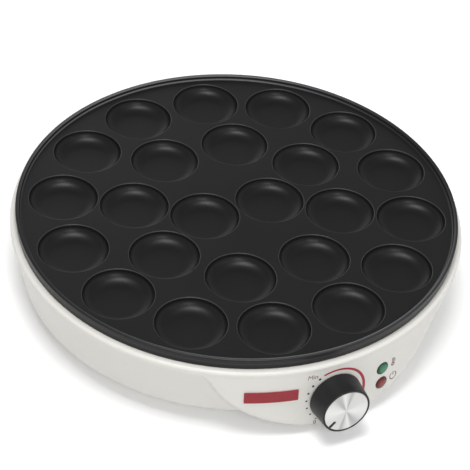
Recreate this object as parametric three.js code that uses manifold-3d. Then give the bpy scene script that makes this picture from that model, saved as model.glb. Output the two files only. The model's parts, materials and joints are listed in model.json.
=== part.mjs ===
// Mini pancake maker: a round non-stick plate with 24 shallow wells on a low off-white housing. A tubular
// element heats the plate from below, and a thermostat behind the front panel sets the heat. Millimetres,
// +Z up. The front panel faces -Y, the feet stand on Z = 0, and the origin is under the middle of the whole.

import * as THREE from "three";
import { mergeVertices } from "three/addons/utils/BufferGeometryUtils.js";
import Module from "manifold-3d";

// Clearances
const contactGap = 0.3; // between two pieces that touch
const shaftGap = 0.3; // around the spindle, which turns
const cutOverrun = 1; // how far a cutter reaches past the face that it opens
const weldDistance = 0.001; // points nearer than this are one point

// Facets round a full turn
const roundSides = 64;
const hiddenSides = 48;
const wellSides = 16;
const bumpSides = 8;
const knobSides = 40;
const smallSides = 16;
const pinSides = 12;
const wireSides = 6;
const quarterSteps = 2;
const heaterSides = 8;
const heaterSteps = 84;

// Heights, stacked from the table up
const footHeight = 7;
const dishDepth = 8;
const wallHeight = 35.2;
const ringHeight = 4.6;
const plateRise = 8;
const chinDrop = 10.5; // front panel's lowest point, below the wall's bottom edge
const wallBottom = footHeight + dishDepth;
const ringBottom = wallBottom + wallHeight;
const ringTop = ringBottom + ringHeight;
const lipTop = ringTop + plateRise;
const chinBottom = wallBottom - chinDrop;

// Cooking plate
const plateRadius = 147.8;
const lipWidth = 2.5;
const lipDepth = 3.3;
const lipSlope = 0.8; // the lip's inner face leans in by this much
const lipRound = 0.6;
const skirtTaper = 0.6;
const skirtThickness = 3.5;
const webThickness = 3.5;
const cookingLevel = lipTop - lipDepth;
const webUnderside = cookingLevel - webThickness;

// Wells
const wellRadius = 23;
const wellDepth = 7;
const wellFloorRadius = 14;
const wellEdge = 0.6;
const wellWall = 2.5;
const wellFloorWall = 3.5;
const wellMargin = 8.2; // plate's edge to an outer well's edge
const outerWellStep = 47.6; // outer circle to middle circle
const innerWellGap = 1.6; // between the two inner wells
const outerWellCircle = plateRadius - wellMargin - wellRadius;
const middleWellCircle = outerWellCircle - outerWellStep;
const innerWellCircle = wellRadius + innerWellGap / 2;
const outerWells = 14;
const middleWells = 8;
const innerWells = 2;
const bumpBottom = cookingLevel - wellDepth - wellFloorWall;

// Heating element, in a channel of the plate's underside between the outer and the middle wells
const heaterTubeRadius = 3.3;
const heaterDrop = 3; // the tube's centre, below the underside of the wells
const heaterBend = 8;
const heaterTail = 8; // straight tail below the bend
const heaterGap = THREE.MathUtils.degToRad(12); // half of the gap between the ends, at the back
const heaterCircle = (outerWellCircle + middleWellCircle) / 2;
const heaterLevel = bumpBottom - heaterDrop;
const ridgeWall = 2.7;
const sealRadius = 2.6;
const sealLength = 3.7;
const tabWidth = 6.3;
const tabThickness = 0.8;
const tabLength = 8;

// Reflector pan
const panThickness = 0.8;
const panClearance = 2.9; // element to pan floor
const panFlare = 6;
const panMargin = 7.5; // pan's rim to the foot of the wall
const panRise = 7.2;
const panTop = heaterLevel - heaterTubeRadius - panClearance;
const panBottom = panTop - panThickness;

// Tie screws, which clamp base, sleeves and pan to posts cast on the plate
const postRadius = 5;
const screwRadius = 2;
const screwHeadRadius = 4;
const screwHeadHeight = 2.4;
const screwGrip = 9.9; // thread inside the post
const screwHoleEnd = 2; // hole beyond the screw's tip
const sleeveWall = 2.2;
const tieWells = 2; // outer wells from the front or the back to a post

// Housing
const ledgeReach = 3.5; // housing beyond the plate
const housingRadius = plateRadius + ledgeReach;
const shoulderRound = 0.9;
const ringStep = 0.5;
const wallTaper = 6.8;
const wallThickness = 2.5;
const ledgeThickness = 3;
const seatRadius = plateRadius - skirtTaper - skirtThickness; // opening under the plate
const wallTopRadius = housingRadius - ringStep;
const wallBottomRadius = wallTopRadius - wallTaper;
const panFloorRadius = wallBottomRadius - wallThickness - panMargin - panFlare;
const lugWidth = 12;
const lugHeight = 3.7;
const lugReach = 8;
const lugCount = 8;

// Front panel
const panelLean = THREE.MathUtils.degToRad(3.8); // the panel flares out towards the table
const panelOverlap = 2; // panel into ring
const chinArcRadius = 104;
const chinHalfWidth = 62;
const sideReach = 14; // from the chin's corner out to where the side is steepest
const sideRiseShare = 0.73; // how high that place is between the corner and the ring
const sideSlope = THREE.MathUtils.degToRad(60);
const sideLead = 8;
const flareReach = 8.5; // from there out to where the panel meets the ring
const outlineSteps = 8;

// Base cover
const baseThickness = 2;
const baseFlangeWidth = 9;
const baseSlopeWidth = 6;
const ventCount = 12;
const ventLength = 16;
const ventWidth = 3;
const ventInset = 38; // vents to the feet's circle
const baseFloorTop = footHeight + baseThickness;

// Rubber feet
const footRadius = 9;
const footChamfer = 1;
const footInset = 44; // a foot's middle to the foot of the wall
const footCircle = wallBottomRadius - footInset;
const ventCircle = footCircle - ventInset;
const footCount = 4;
const footNeckRadius = 3;
const footBulbRadius = 4.2;
const footBulbHeight = 2.2;

// Knob, measured outwards from the panel
const knobHeight = 27.6; // its axis at the panel, above the table
const knobGap = 0.3;
const knobDepth = 15.6;
const knobBackRadius = 17.3;
const knobFrontRadius = 16.1;
const knobRound = 0.7;
const knobWall = 2.2;
const knobFrontWall = 2.6;
const knobHubRadius = 5.5;
const hubSetBack = 0.8;
const capRadius = 15.15;
const capThickness = 0.6;
const pointerWidth = 1.6;
const pointerLength = 5.1;
const pointerRest = THREE.MathUtils.degToRad(138); // anticlockwise from the top, at "0"
const clipWall = 0.8;
const clipLength = 4;
const clipMouth = 4;

// Thermostat, measured inwards from the panel
const spindleRadius = 3;
const spindleFlat = 1.9; // from the axis to the flat of the D
const spindleGrip = 9.5; // in the knob
const spindleEnd = 13;
const spindleHoleRadius = 4.5;
const neckRadius = 4.6;
const neckStart = 3;
const nutRadius = 7.4;
const nutThickness = 3;
const bracketThickness = 1.5;
const bracketHalfWidth = 9;
const bracketHang = 9;
const bracketDrop = 1.5; // bracket's flange below the pan
const bracketReach = 9; // flange beyond its screw
const frameThickness = 1.2;
const frameHalfHeight = 8;
const frameEnd = 9;
const stackOffset = 13; // ceramic stack, to the left of the spindle
const stackEnd = 6;
const beadRadius = 5;
const rivetRadius = 1.5;
const rivetHeadRadius = 3;
const rivetHeadHeight = 1;
const leafThickness = 0.4;
const leafHalfHeight = 3;
const bimetalThickness = 0.8;
const firstBeadLength = 9.3;
const middleBeadLength = 2.8;
const lastBeadLength = 2.4;
const leafTab = 9; // blade beyond the stack
const contactOffset = 5.5;
const contactRadius = 1.6;
const contactHeight = 1.5;
const pusherRadius = 1.8;
const pusherTravel = 1; // over the knob's whole turn

// Signal lamps
const lampTurn = THREE.MathUtils.degToRad(13.35);
const lampMiddle = 28.35;
const lampSpacing = 12.1;
const lensRingRadius = 4.4;
const lensRingWall = 0.6;
const lensRingProud = 0.5;
const lensRingLength = 4.5;
const lensProud = 1.7;
const lensEdge = 0.5;
const lensLength = 4;
const lampRadius = 3;
const lampLength = 11;
const lampLeadRadius = 0.6;
const lampLeadLength = 3;

// Name plate, left bare
const badgeTurn = THREE.MathUtils.degToRad(-15.8);
const badgeMiddle = 35.4;
const badgeWidth = 34.2;
const badgeHeight = 8.3;
const badgeThickness = 0.6;

// Cord gland, at the back
const glandHeight = 27;
const cordBore = 4.3;
const glandWall = 2;
const glandProud = 4.6;
const glandFlangeWall = 2;
const glandFlange = 3.2;

// Terminal block, thermal fuse and earth
const blockX = -50;
const blockWidth = 26;
const blockDepth = 13;
const blockHeight = 11;
const blockWays = 3;
const blockBore = 1.7;
const blockScrewBore = 2.3;
const blockScrewDepth = 4;
const fuseX = 50;
const fuseRadius = 2;
const fuseLength = 14;
const fuseLeadRadius = 0.7;
const fuseLeadLength = 5;
const strapWall = 0.8;
const strapFoot = 4;
const strapWidth = 6;
const earthX = -20;
const earthY = 60;
const earthTagRadius = 4;
const earthTagTail = 9;
const earthTagWidth = 5;

// Wires
const wireRadius = 1.1;
const wireSteps = 22;
const wireLead = 5;
const wireLevel = 6; // lowest run above the base floor
const wireSpacing = 3.2;
const wireRunShare = 0.25; // share of the way at which a wire is down on its run

// Materials

function material(color, roughness, metalness) {
  return new THREE.MeshStandardMaterial({ color, roughness, metalness, flatShading: true });
}

const nonStick = material(0x2d2d2f, 0.55, 0.35);
const offWhite = material(0xdedbd5, 0.38, 0);
const blackPlastic = material(0x222224, 0.42, 0);
const spunAluminium = material(0xd9d9d9, 0.25, 0.95);
const redEnamel = material(0xb3283a, 0.4, 0);
const greenGlass = material(0x2f9d64, 0.15, 0);
const redGlass = material(0xb5342f, 0.15, 0);
const steel = material(0xb4b6b8, 0.35, 0.9);
const brightSteel = material(0xc9cccf, 0.22, 0.95);
const brass = material(0xc2a050, 0.3, 0.9);
const ceramic = material(0xe9e5da, 0.7, 0);
const rubber = material(0x2a2a2b, 0.85, 0);
const nylon = material(0xe4e2dc, 0.5, 0);
const clearGlass = material(0xe8ddd0, 0.1, 0);
const brownSheath = material(0x7a4a2a, 0.5, 0);
const blueSheath = material(0x2c5fa8, 0.5, 0);
const greenSheath = material(0x5c9a3a, 0.5, 0);

// Cutting and joining

const wasm = await Module();
wasm.setup();

function solidOf(geometry) {
  const bare = new THREE.BufferGeometry();
  const points = geometry.index ? geometry.toNonIndexed() : geometry;
  bare.setAttribute("position", points.getAttribute("position"));
  const merged = mergeVertices(bare, weldDistance);
  return new wasm.Manifold(
    new wasm.Mesh({
      numProp: 3,
      vertProperties: merged.attributes.position.array,
      triVerts: merged.index.array,
    }),
  );
}

function geometryOf(solid) {
  const mesh = solid.getMesh();
  const geometry = new THREE.BufferGeometry();
  geometry.setAttribute("position", new THREE.BufferAttribute(mesh.vertProperties, 3));
  geometry.setIndex(new THREE.BufferAttribute(mesh.triVerts, 1));
  return geometry;
}

function joined(first, ...others) {
  return geometryOf(others.reduce((sum, other) => sum.add(solidOf(other)), solidOf(first)));
}

function cut(first, ...tools) {
  return geometryOf(tools.reduce((rest, tool) => rest.subtract(solidOf(tool)), solidOf(first)));
}

function shared(first, second) {
  return geometryOf(solidOf(first).intersect(solidOf(second)));
}

// Shapes

// A solid of revolution about Z. The [radius, height] pairs run anticlockwise, from the axis back to the
// axis, or round a closed loop.
function turned(profile, sides) {
  const loop = profile[0][0] === 0 ? profile : [...profile, profile[0]];
  const points = loop.map(([radius, height]) => new THREE.Vector2(radius, height));
  return new THREE.LatheGeometry(points, sides).rotateX(Math.PI / 2);
}

function post(radius, bottom, top, sides) {
  return turned([[0, bottom], [radius, bottom], [radius, top], [0, top]], sides);
}

function pipe(outer, inner, bottom, top, sides) {
  return turned([[inner, bottom], [outer, bottom], [outer, top], [inner, top]], sides);
}

function block(x, y, z) {
  const size = [x, y, z].map(([low, high]) => high - low);
  const middle = [x, y, z].map(([low, high]) => (low + high) / 2);
  return new THREE.BoxGeometry(...size).translate(...middle);
}

// Points of a quarter turn from one [radius, height] to another, as an ellipse about the given centre.
function quarterArc(centre, radii, startAngle, steps) {
  const points = [];
  for (let step = 0; step <= steps; step += 1) {
    const angle = startAngle + (Math.PI / 2) * (step / steps);
    points.push([centre[0] + radii[0] * Math.cos(angle), centre[1] + radii[1] * Math.sin(angle)]);
  }
  return points;
}

// A rod along a curve.
function rod(curve, radius, steps, sides) {
  const section = new THREE.Shape();
  section.absarc(0, 0, radius, 0, 2 * Math.PI, false);
  return new THREE.ExtrudeGeometry(section, { extrudePath: curve, steps, curveSegments: sides / 2 });
}

// The [x, y] of a place on a circle about the plate's axis, turned from the front towards +X.
function onCircle(radius, turn) {
  return [radius * Math.sin(turn), -radius * Math.cos(turn)];
}

// Turns of the middles between wells, or of the wells themselves half a step on.
function turnsOf(count, offset) {
  return Array.from({ length: count }, (_, k) => ((k + offset) * 2 * Math.PI) / count);
}

// A frame that stands on a side wall: X to the right, Y up the wall, Z out of it.
function wallFrame(radius, height, turn, lean) {
  const frame = new THREE.Group();
  frame.position.set(...onCircle(radius, turn), height);
  frame.rotation.set(Math.PI / 2 - lean, 0, turn, "ZXY");
  frame.updateMatrix();
  return frame;
}

function panelRadiusAt(height) {
  return housingRadius + Math.tan(panelLean) * (ringBottom - height);
}

function wallRadiusAt(height) {
  return wallBottomRadius + (wallTaper * (height - wallBottom)) / wallHeight;
}

function panelFrame(turn, height) {
  return wallFrame(panelRadiusAt(height), height, turn, panelLean);
}

const body = new THREE.Group();
const dial = panelFrame(0, knobHeight);
const upperLampFrame = panelFrame(lampTurn, lampMiddle + lampSpacing / 2);
const lowerLampFrame = panelFrame(lampTurn, lampMiddle - lampSpacing / 2);
const badgeFrame = panelFrame(badgeTurn, badgeMiddle);
const wallLean = -Math.atan(wallTaper / wallHeight);
const glandFrame = wallFrame(wallRadiusAt(glandHeight), glandHeight, Math.PI, wallLean);
body.add(dial, upperLampFrame, lowerLampFrame, badgeFrame, glandFrame);

function piece(name, geometry, look, parent = body) {
  const mesh = new THREE.Mesh(geometry, look);
  mesh.name = name;
  parent.add(mesh);
  return mesh;
}

// The element's route: one ring, open at the back, with both ends turned down through the pan.
class RingArc extends THREE.Curve {
  constructor(radius, height, startTurn, endTurn) {
    super();
    this.radius = radius;
    this.height = height;
    this.startTurn = startTurn;
    this.endTurn = endTurn;
  }

  getPoint(share, target = new THREE.Vector3()) {
    const turn = this.startTurn + (this.endTurn - this.startTurn) * share;
    return target.set(...onCircle(this.radius, turn), this.height);
  }
}

const heaterEnds = [-1, 1].map((side) => {
  const turn = side * (Math.PI - heaterGap);
  const ringEnd = new THREE.Vector3(...onCircle(heaterCircle, turn), heaterLevel);
  const onward = new THREE.Vector3(side * Math.cos(turn), side * Math.sin(turn), 0);
  const corner = ringEnd.clone().addScaledVector(onward, heaterBend);
  const elbow = corner.clone().setZ(heaterLevel - heaterBend);
  const tip = corner.clone().setZ(heaterLevel - heaterBend - heaterTail);
  return { turn, ringEnd, corner, elbow, tip };
});

function heaterRod(radius) {
  const [start, end] = heaterEnds;
  const path = new THREE.CurvePath();
  path.add(new THREE.LineCurve3(start.tip, start.elbow));
  path.add(new THREE.QuadraticBezierCurve3(start.elbow, start.corner, start.ringEnd));
  path.add(new RingArc(heaterCircle, heaterLevel, start.turn, end.turn));
  path.add(new THREE.QuadraticBezierCurve3(end.ringEnd, end.corner, end.elbow));
  path.add(new THREE.LineCurve3(end.elbow, end.tip));
  return rod(path, radius, heaterSteps, heaterSides);
}

// Where the tie screws stand: in gaps between outer wells, alike at the front and the back.
const tieTurn = (tieWells * 2 * Math.PI) / outerWells;
const tiePlaces = [-tieTurn, tieTurn, Math.PI - tieTurn, Math.PI + tieTurn].map((turn) =>
  onCircle(outerWellCircle, turn),
);
const backRow = heaterEnds[0].tip.y; // block and fuse stand in line with the element's ends
const postEnd = panTop + contactGap;
const bracketTop = panBottom - bracketDrop;
const bossEnd = bracketTop + contactGap;

// Cooking plate: a web with a lip and a skirt, wells sunk in it, and their bumps, the element's ridge and
// the screw posts cast underneath.
function cookingPlate() {
  const skirtRadius = plateRadius - skirtTaper;
  const skirtBottom = ringTop + contactGap;
  const web = turned(
    [
      [0, webUnderside],
      [skirtRadius - skirtThickness, webUnderside],
      [skirtRadius - skirtThickness, skirtBottom],
      [skirtRadius, skirtBottom],
      [plateRadius, lipTop - lipRound],
      [plateRadius - lipRound, lipTop],
      [plateRadius - lipWidth, lipTop],
      [plateRadius - lipWidth - lipSlope, cookingLevel],
      [0, cookingLevel],
    ],
    roundSides,
  );
  const wellPlaces = [
    [outerWells, outerWellCircle],
    [middleWells, middleWellCircle],
    [innerWells, innerWellCircle],
  ].flatMap(([count, circle]) => turnsOf(count, 0.5).map((turn) => onCircle(circle, turn)));
  const bump = turned(
    [
      [0, bumpBottom],
      [wellFloorRadius + wellFloorWall, bumpBottom],
      [wellRadius + wellWall, webUnderside],
      [wellRadius + wellWall, webUnderside + wellEdge],
      [0, webUnderside + wellEdge],
    ],
    bumpSides,
  );
  const well = turned(
    [
      [0, cookingLevel - wellDepth],
      ...quarterArc(
        [wellFloorRadius, cookingLevel - wellEdge],
        [wellRadius - wellFloorRadius, wellDepth - wellEdge],
        -Math.PI / 2,
        quarterSteps,
      ),
      [wellRadius + wellEdge, cookingLevel],
      [wellRadius + wellEdge, cookingLevel + cutOverrun],
      [0, cookingLevel + cutOverrun],
    ],
    wellSides,
  );
  const ridgeHalf = heaterTubeRadius + ridgeWall;
  const ridge = pipe(
    heaterCircle + ridgeHalf,
    heaterCircle - ridgeHalf,
    heaterLevel,
    webUnderside + wellEdge,
    hiddenSides,
  );
  const channel = heaterRod(heaterTubeRadius + contactGap);
  const tiePost = post(postRadius, postEnd, webUnderside + wellEdge, pinSides);
  const boss = post(postRadius, bossEnd, webUnderside + wellEdge, pinSides);
  const screwHole = (bottom) =>
    post(
      screwRadius + contactGap,
      bottom - cutOverrun,
      bottom + screwGrip + screwHoleEnd,
      pinSides,
    );
  const casting = joined(
    web,
    ...wellPlaces.map(([x, y]) => bump.clone().translate(x, y, 0)),
    ridge,
    ...tiePlaces.map(([x, y]) => tiePost.clone().translate(x, y, 0)),
    boss.translate(0, -outerWellCircle, 0),
  );
  return cut(
    casting,
    channel,
    ...wellPlaces.map(([x, y]) => well.clone().translate(x, y, 0)),
    ...tiePlaces.map(([x, y]) => screwHole(postEnd).translate(x, y, 0)),
    screwHole(bossEnd).translate(0, -outerWellCircle, 0),
  );
}

piece("cooking_plate", cookingPlate(), nonStick);

// Heating element, with a seal and a blade terminal at each end.
piece("heating_element", heaterRod(heaterTubeRadius), steel);
const sealTop = heaterEnds[0].tip.z - contactGap;
const tabTop = sealTop - sealLength - contactGap;
heaterEnds.forEach(({ tip }, k) => {
  const seal = post(sealRadius, sealTop - sealLength, sealTop, pinSides);
  piece(`element_seal_${k + 1}`, seal.translate(tip.x, tip.y, 0), ceramic);
  const tab = block(
    [tip.x - tabWidth / 2, tip.x + tabWidth / 2],
    [tip.y - tabThickness / 2, tip.y + tabThickness / 2],
    [tabTop - tabLength, tabTop],
  );
  piece(`element_tab_${k + 1}`, tab, brightSteel);
});

// Reflector pan: a thin steel dish that the posts and sleeves hold under the element.
function reflectorPan() {
  const dish = turned(
    [
      [0, panBottom],
      [panFloorRadius, panBottom],
      [panFloorRadius + panFlare, panTop + panRise],
      [panFloorRadius + panFlare - panThickness, panTop + panRise],
      [panFloorRadius - panThickness, panTop],
      [0, panTop],
    ],
    hiddenSides,
  );
  const hole = (radius, x, y) =>
    post(radius, panBottom - cutOverrun, panTop + cutOverrun, pinSides).translate(x, y, 0);
  return cut(
    dish,
    ...tiePlaces.map(([x, y]) => hole(screwRadius + contactGap, x, y)),
    ...heaterEnds.map(({ tip }) => hole(heaterTubeRadius + cutOverrun, tip.x, tip.y)),
    hole(postRadius + cutOverrun, 0, -outerWellCircle),
    hole(screwRadius + contactGap, earthX, earthY),
  );
}

piece("reflector_pan", reflectorPan(), steel);

// Tie screws and the sleeves round them.
const sleeveBottom = baseFloorTop + contactGap;
const sleeveTop = panBottom - contactGap;
tiePlaces.forEach(([x, y], k) => {
  const bore = screwRadius + contactGap;
  const sleeve = pipe(bore + sleeveWall, bore, sleeveBottom, sleeveTop, pinSides);
  piece(`spacer_sleeve_${k + 1}`, sleeve.translate(x, y, 0), steel);
  const headTop = footHeight - contactGap;
  const screw = joined(
    post(screwHeadRadius, headTop - screwHeadHeight, headTop, pinSides),
    post(screwRadius, headTop - screwHeadHeight / 2, postEnd + screwGrip, pinSides),
  );
  piece(`tie_screw_${k + 1}`, screw.translate(x, y, 0), brightSteel);
});

// Housing: ring, ledge and tapered wall in one moulding with the front panel and its hollow chin.
function panelOutline(inset, top) {
  const swing = Math.asin(chinHalfWidth / chinArcRadius);
  const arcCentre = chinBottom + chinArcRadius;
  const arcRadius = chinArcRadius - inset;
  const chinX = arcRadius * Math.sin(swing);
  const chinY = arcCentre - arcRadius * Math.cos(swing);
  const cornerY = arcCentre - chinArcRadius * Math.cos(swing);
  const sideX = chinHalfWidth + sideReach - inset;
  const sideY = cornerY + (ringBottom - cornerY) * sideRiseShare;
  const turnX = sideX + (ringBottom - sideY) / Math.tan(sideSlope);
  const topX = sideX + flareReach;
  const leadX = [sideLead * Math.cos(swing), sideLead * Math.cos(sideSlope)];
  const leadY = [sideLead * Math.sin(swing), sideLead * Math.sin(sideSlope)];
  const outline = new THREE.Shape();
  outline.absarc(0, arcCentre, arcRadius, -Math.PI / 2 - swing, -Math.PI / 2 + swing, false);
  outline.bezierCurveTo(
    chinX + leadX[0], chinY + leadY[0], sideX - leadX[1], sideY - leadY[1], sideX, sideY,
  );
  outline.quadraticCurveTo(turnX, ringBottom, topX, ringBottom);
  outline.lineTo(topX, top);
  outline.lineTo(-topX, top);
  outline.lineTo(-topX, ringBottom);
  outline.quadraticCurveTo(-turnX, ringBottom, -sideX, sideY);
  outline.bezierCurveTo(
    -sideX + leadX[1], sideY - leadY[1], -chinX - leadX[0], chinY + leadY[0], -chinX, chinY,
  );
  return outline;
}

// The flared front panel as a full block, drawn in by an inset on all its faces but the top.
function panelBlock(inset, top) {
  const prism = new THREE.ExtrudeGeometry(panelOutline(inset, top), {
    depth: housingRadius + chinArcRadius,
    bevelEnabled: false,
    curveSegments: outlineSteps,
  }).rotateX(Math.PI / 2);
  const low = chinBottom - cutOverrun;
  const cone = turned(
    [
      [0, low],
      [panelRadiusAt(low) - inset, low],
      [housingRadius - inset, ringBottom],
      [housingRadius - inset, top + cutOverrun],
      [0, top + cutOverrun],
    ],
    roundSides,
  );
  return shared(prism, cone);
}

function housing() {
  const ledgeBottom = ringTop - ledgeThickness;
  const wall = turned(
    [
      [0, wallBottom],
      [wallBottomRadius, wallBottom],
      [wallTopRadius, ringBottom - ringStep],
      [housingRadius, ringBottom],
      ...quarterArc(
        [housingRadius - shoulderRound, ringTop - shoulderRound],
        [shoulderRound, shoulderRound],
        0,
        quarterSteps,
      ),
      [0, ringTop],
    ],
    roundSides,
  );
  const hollow = turned(
    [
      [0, wallBottom - cutOverrun],
      [wallBottomRadius - wallThickness, wallBottom - cutOverrun],
      [wallBottomRadius - wallThickness, wallBottom],
      [wallTopRadius - wallThickness, ledgeBottom],
      [0, ledgeBottom],
    ],
    roundSides,
  );
  const mouth = post(seatRadius, ledgeBottom - cutOverrun, ringTop + cutOverrun, roundSides);
  const chinLow = chinBottom - 2 * cutOverrun;
  const underBase = post(
    wallBottomRadius - wallThickness + contactGap, chinLow, wallBottom, roundSides,
  );
  const chinBack = post(wallBottomRadius, chinLow, wallBottom, roundSides);
  const shell = cut(
    joined(wall, cut(panelBlock(0, ringBottom + panelOverlap), underBase)),
    hollow,
    mouth,
    cut(panelBlock(wallThickness, ledgeBottom), chinBack),
  );
  const lugOuter = wallBottomRadius - wallThickness / 2;
  const lugs = turnsOf(lugCount, 0)
    .filter((turn) => Math.abs(Math.sin(turn)) > 0.5)
    .map((turn) =>
      block(
        [-lugWidth / 2, lugWidth / 2],
        [-lugOuter, -lugOuter + lugReach],
        [
          wallBottom + baseThickness + contactGap,
          wallBottom + baseThickness + contactGap + lugHeight,
        ],
      ).rotateZ(turn),
    );
  const through = (radius, frame) =>
    post(radius, -2 * wallThickness, 2 * wallThickness, smallSides).applyMatrix4(frame.matrix);
  return cut(
    joined(shell, ...lugs),
    through(spindleHoleRadius, dial),
    through(lensRingRadius + contactGap, upperLampFrame),
    through(lensRingRadius + contactGap, lowerLampFrame),
    through(cordBore + glandWall + contactGap, glandFrame),
  );
}

piece("housing", housing(), offWhite);

// Base cover: a shallow dish inside the foot of the wall, with vents.
function baseCover() {
  const flangeRadius = wallBottomRadius - wallThickness - contactGap;
  const slopeTop = flangeRadius - baseFlangeWidth;
  const slopeBottom = slopeTop - baseSlopeWidth;
  const dish = turned(
    [
      [0, footHeight],
      [slopeBottom, footHeight],
      [slopeTop, wallBottom],
      [flangeRadius, wallBottom],
      [flangeRadius, wallBottom + baseThickness],
      [slopeTop - cutOverrun, wallBottom + baseThickness],
      [slopeBottom - cutOverrun, baseFloorTop],
      [0, baseFloorTop],
    ],
    hiddenSides,
  );
  const low = footHeight - cutOverrun;
  const high = baseFloorTop + cutOverrun;
  const vents = turnsOf(ventCount, 0.5).map((turn) =>
    block(
      [-ventWidth / 2, ventWidth / 2],
      [ventCircle - ventLength / 2, ventCircle + ventLength / 2],
      [low, high],
    ).rotateZ(turn),
  );
  const footHole = post(footNeckRadius + contactGap, low, high, pinSides);
  const screwHole = post(screwRadius + contactGap, low, high, pinSides);
  return cut(
    dish,
    ...vents,
    ...turnsOf(footCount, 0.5).map((turn) =>
      footHole.clone().translate(...onCircle(footCircle, turn), 0),
    ),
    ...tiePlaces.map(([x, y]) => screwHole.clone().translate(x, y, 0)),
  );
}

piece("base_cover", baseCover(), offWhite);

// Feet: rubber pads pushed into holes of the base.
turnsOf(footCount, 0.5).forEach((turn, k) => {
  const bulbBottom = baseFloorTop + contactGap;
  const foot = turned(
    [
      [0, 0],
      [footRadius - footChamfer, 0],
      [footRadius, footChamfer],
      [footRadius, footHeight - contactGap],
      [footNeckRadius, footHeight - contactGap],
      [footNeckRadius, bulbBottom],
      [footBulbRadius, bulbBottom],
      [footNeckRadius, bulbBottom + footBulbHeight],
      [0, bulbBottom + footBulbHeight],
    ],
    smallSides,
  );
  piece(`foot_${k + 1}`, foot.translate(...onCircle(footCircle, turn), 0), rubber);
});

// A round shaft with one flat, on top.
function dShaft(radius, flat, bottom, top) {
  const beyond = radius + cutOverrun;
  return cut(
    post(radius, bottom, top, pinSides),
    block([-beyond, beyond], [flat, beyond], [bottom - cutOverrun, top + cutOverrun]),
  );
}

// Knob: a hollow black moulding with a hub, and a rib that shows as the pointer through the face disc.
const knobFront = knobGap + knobDepth;
const capSeat = knobFront - capThickness - contactGap;
const hubBack = knobGap + hubSetBack;
const spindleTip = hubBack + spindleGrip;

function pointerBar(margin, bottom, top) {
  const outer = capRadius + contactGap + margin;
  const inner = capRadius - pointerLength - margin;
  const half = pointerWidth / 2 + margin;
  return block([-half, half], [inner, outer], [bottom, top]).rotateZ(pointerRest);
}

function knob() {
  const cavityTop = capSeat - knobFrontWall;
  const moulding = turned(
    [
      [0, hubBack],
      [knobHubRadius, hubBack],
      [knobHubRadius, cavityTop],
      [knobFrontRadius - knobWall, cavityTop],
      [knobBackRadius - knobWall, knobGap],
      [knobBackRadius, knobGap],
      [knobFrontRadius, knobFront - knobRound],
      [knobFrontRadius - knobRound / 2, knobFront],
      [capRadius + contactGap, knobFront],
      [capRadius + contactGap, capSeat],
      [0, capSeat],
    ],
    knobSides,
  );
  const bore = dShaft(
    spindleRadius + contactGap,
    spindleFlat + contactGap,
    hubBack - cutOverrun,
    spindleTip + contactGap,
  );
  return joined(cut(moulding, bore), pointerBar(0, capSeat - contactGap, knobFront));
}

piece("knob", knob(), blackPlastic, dial);
const capDisc = post(capRadius, knobFront - capThickness, knobFront, knobSides);
const pointerNotch = pointerBar(contactGap, capSeat - cutOverrun, knobFront + cutOverrun);
piece("knob_face", cut(capDisc, pointerNotch), spunAluminium, dial);

const clipInner = knobHubRadius + contactGap;
const clip = cut(
  pipe(clipInner + clipWall, clipInner, hubBack + contactGap, hubBack + clipLength, smallSides),
  block([-clipMouth / 2, clipMouth / 2], [0, 2 * knobHubRadius], [0, hubBack + 2 * clipLength]),
);
piece("knob_clip", clip, brightSteel, dial);

// Thermostat: places along the spindle, inwards from the panel, so Z is negative here.
const nutFront = -neckStart - contactGap;
const bracketFront = nutFront - nutThickness - contactGap;
const frameFront = bracketFront - bracketThickness - contactGap;
const frameBack = frameFront - frameThickness;
const firstLeaf = frameBack - contactGap - firstBeadLength - contactGap;
const secondLeaf = firstLeaf - leafThickness - middleBeadLength - 2 * contactGap;
const bimetal = secondLeaf - leafThickness - middleBeadLength - 2 * contactGap;
const stackBack = bimetal - bimetalThickness - lastBeadLength - 2 * contactGap;

const spindle = joined(
  post(spindleRadius, -spindleEnd, knobGap, pinSides),
  dShaft(spindleRadius, spindleFlat, -spindleEnd, spindleTip),
);
piece("thermostat_spindle", spindle, brass, dial);
const pusherFront = -spindleEnd - contactGap;
const pusherBack = firstLeaf + contactGap + pusherTravel;
piece("contact_pusher", post(pusherRadius, pusherBack, pusherFront, pinSides), ceramic, dial);

const frameLeft = -stackOffset - stackEnd;
const neckBore = post(
  spindleRadius + shaftGap, frameBack - cutOverrun, -neckStart + cutOverrun, pinSides,
);
const rivetHole = post(
  rivetRadius + contactGap, stackBack - cutOverrun, frameFront + cutOverrun, pinSides,
).translate(-stackOffset, 0, 0);
const thermostatFrame = cut(
  joined(
    block([frameLeft, frameEnd], [-frameHalfHeight, frameHalfHeight], [frameBack, frameFront]),
    post(neckRadius, (frameBack + frameFront) / 2, -neckStart, pinSides),
  ),
  neckBore,
  rivetHole,
);
piece("thermostat_frame", thermostatFrame, steel, dial);
const nut = cut(
  post(nutRadius, nutFront - nutThickness, nutFront, 6),
  post(neckRadius + contactGap, nutFront - nutThickness - cutOverrun, nutFront + cutOverrun, pinSides),
);
piece("neck_nut", nut, brightSteel, dial);

const beadEnds = [
  [frameBack, firstLeaf],
  [firstLeaf - leafThickness, secondLeaf],
  [secondLeaf - leafThickness, bimetal],
  [bimetal - bimetalThickness, stackBack],
];
beadEnds.forEach(([front, back], k) => {
  const bead = pipe(
    beadRadius, rivetRadius + contactGap, back + contactGap, front - contactGap, pinSides,
  );
  piece(`ceramic_bead_${k + 1}`, bead.translate(-stackOffset, 0, 0), ceramic, dial);
});

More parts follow.
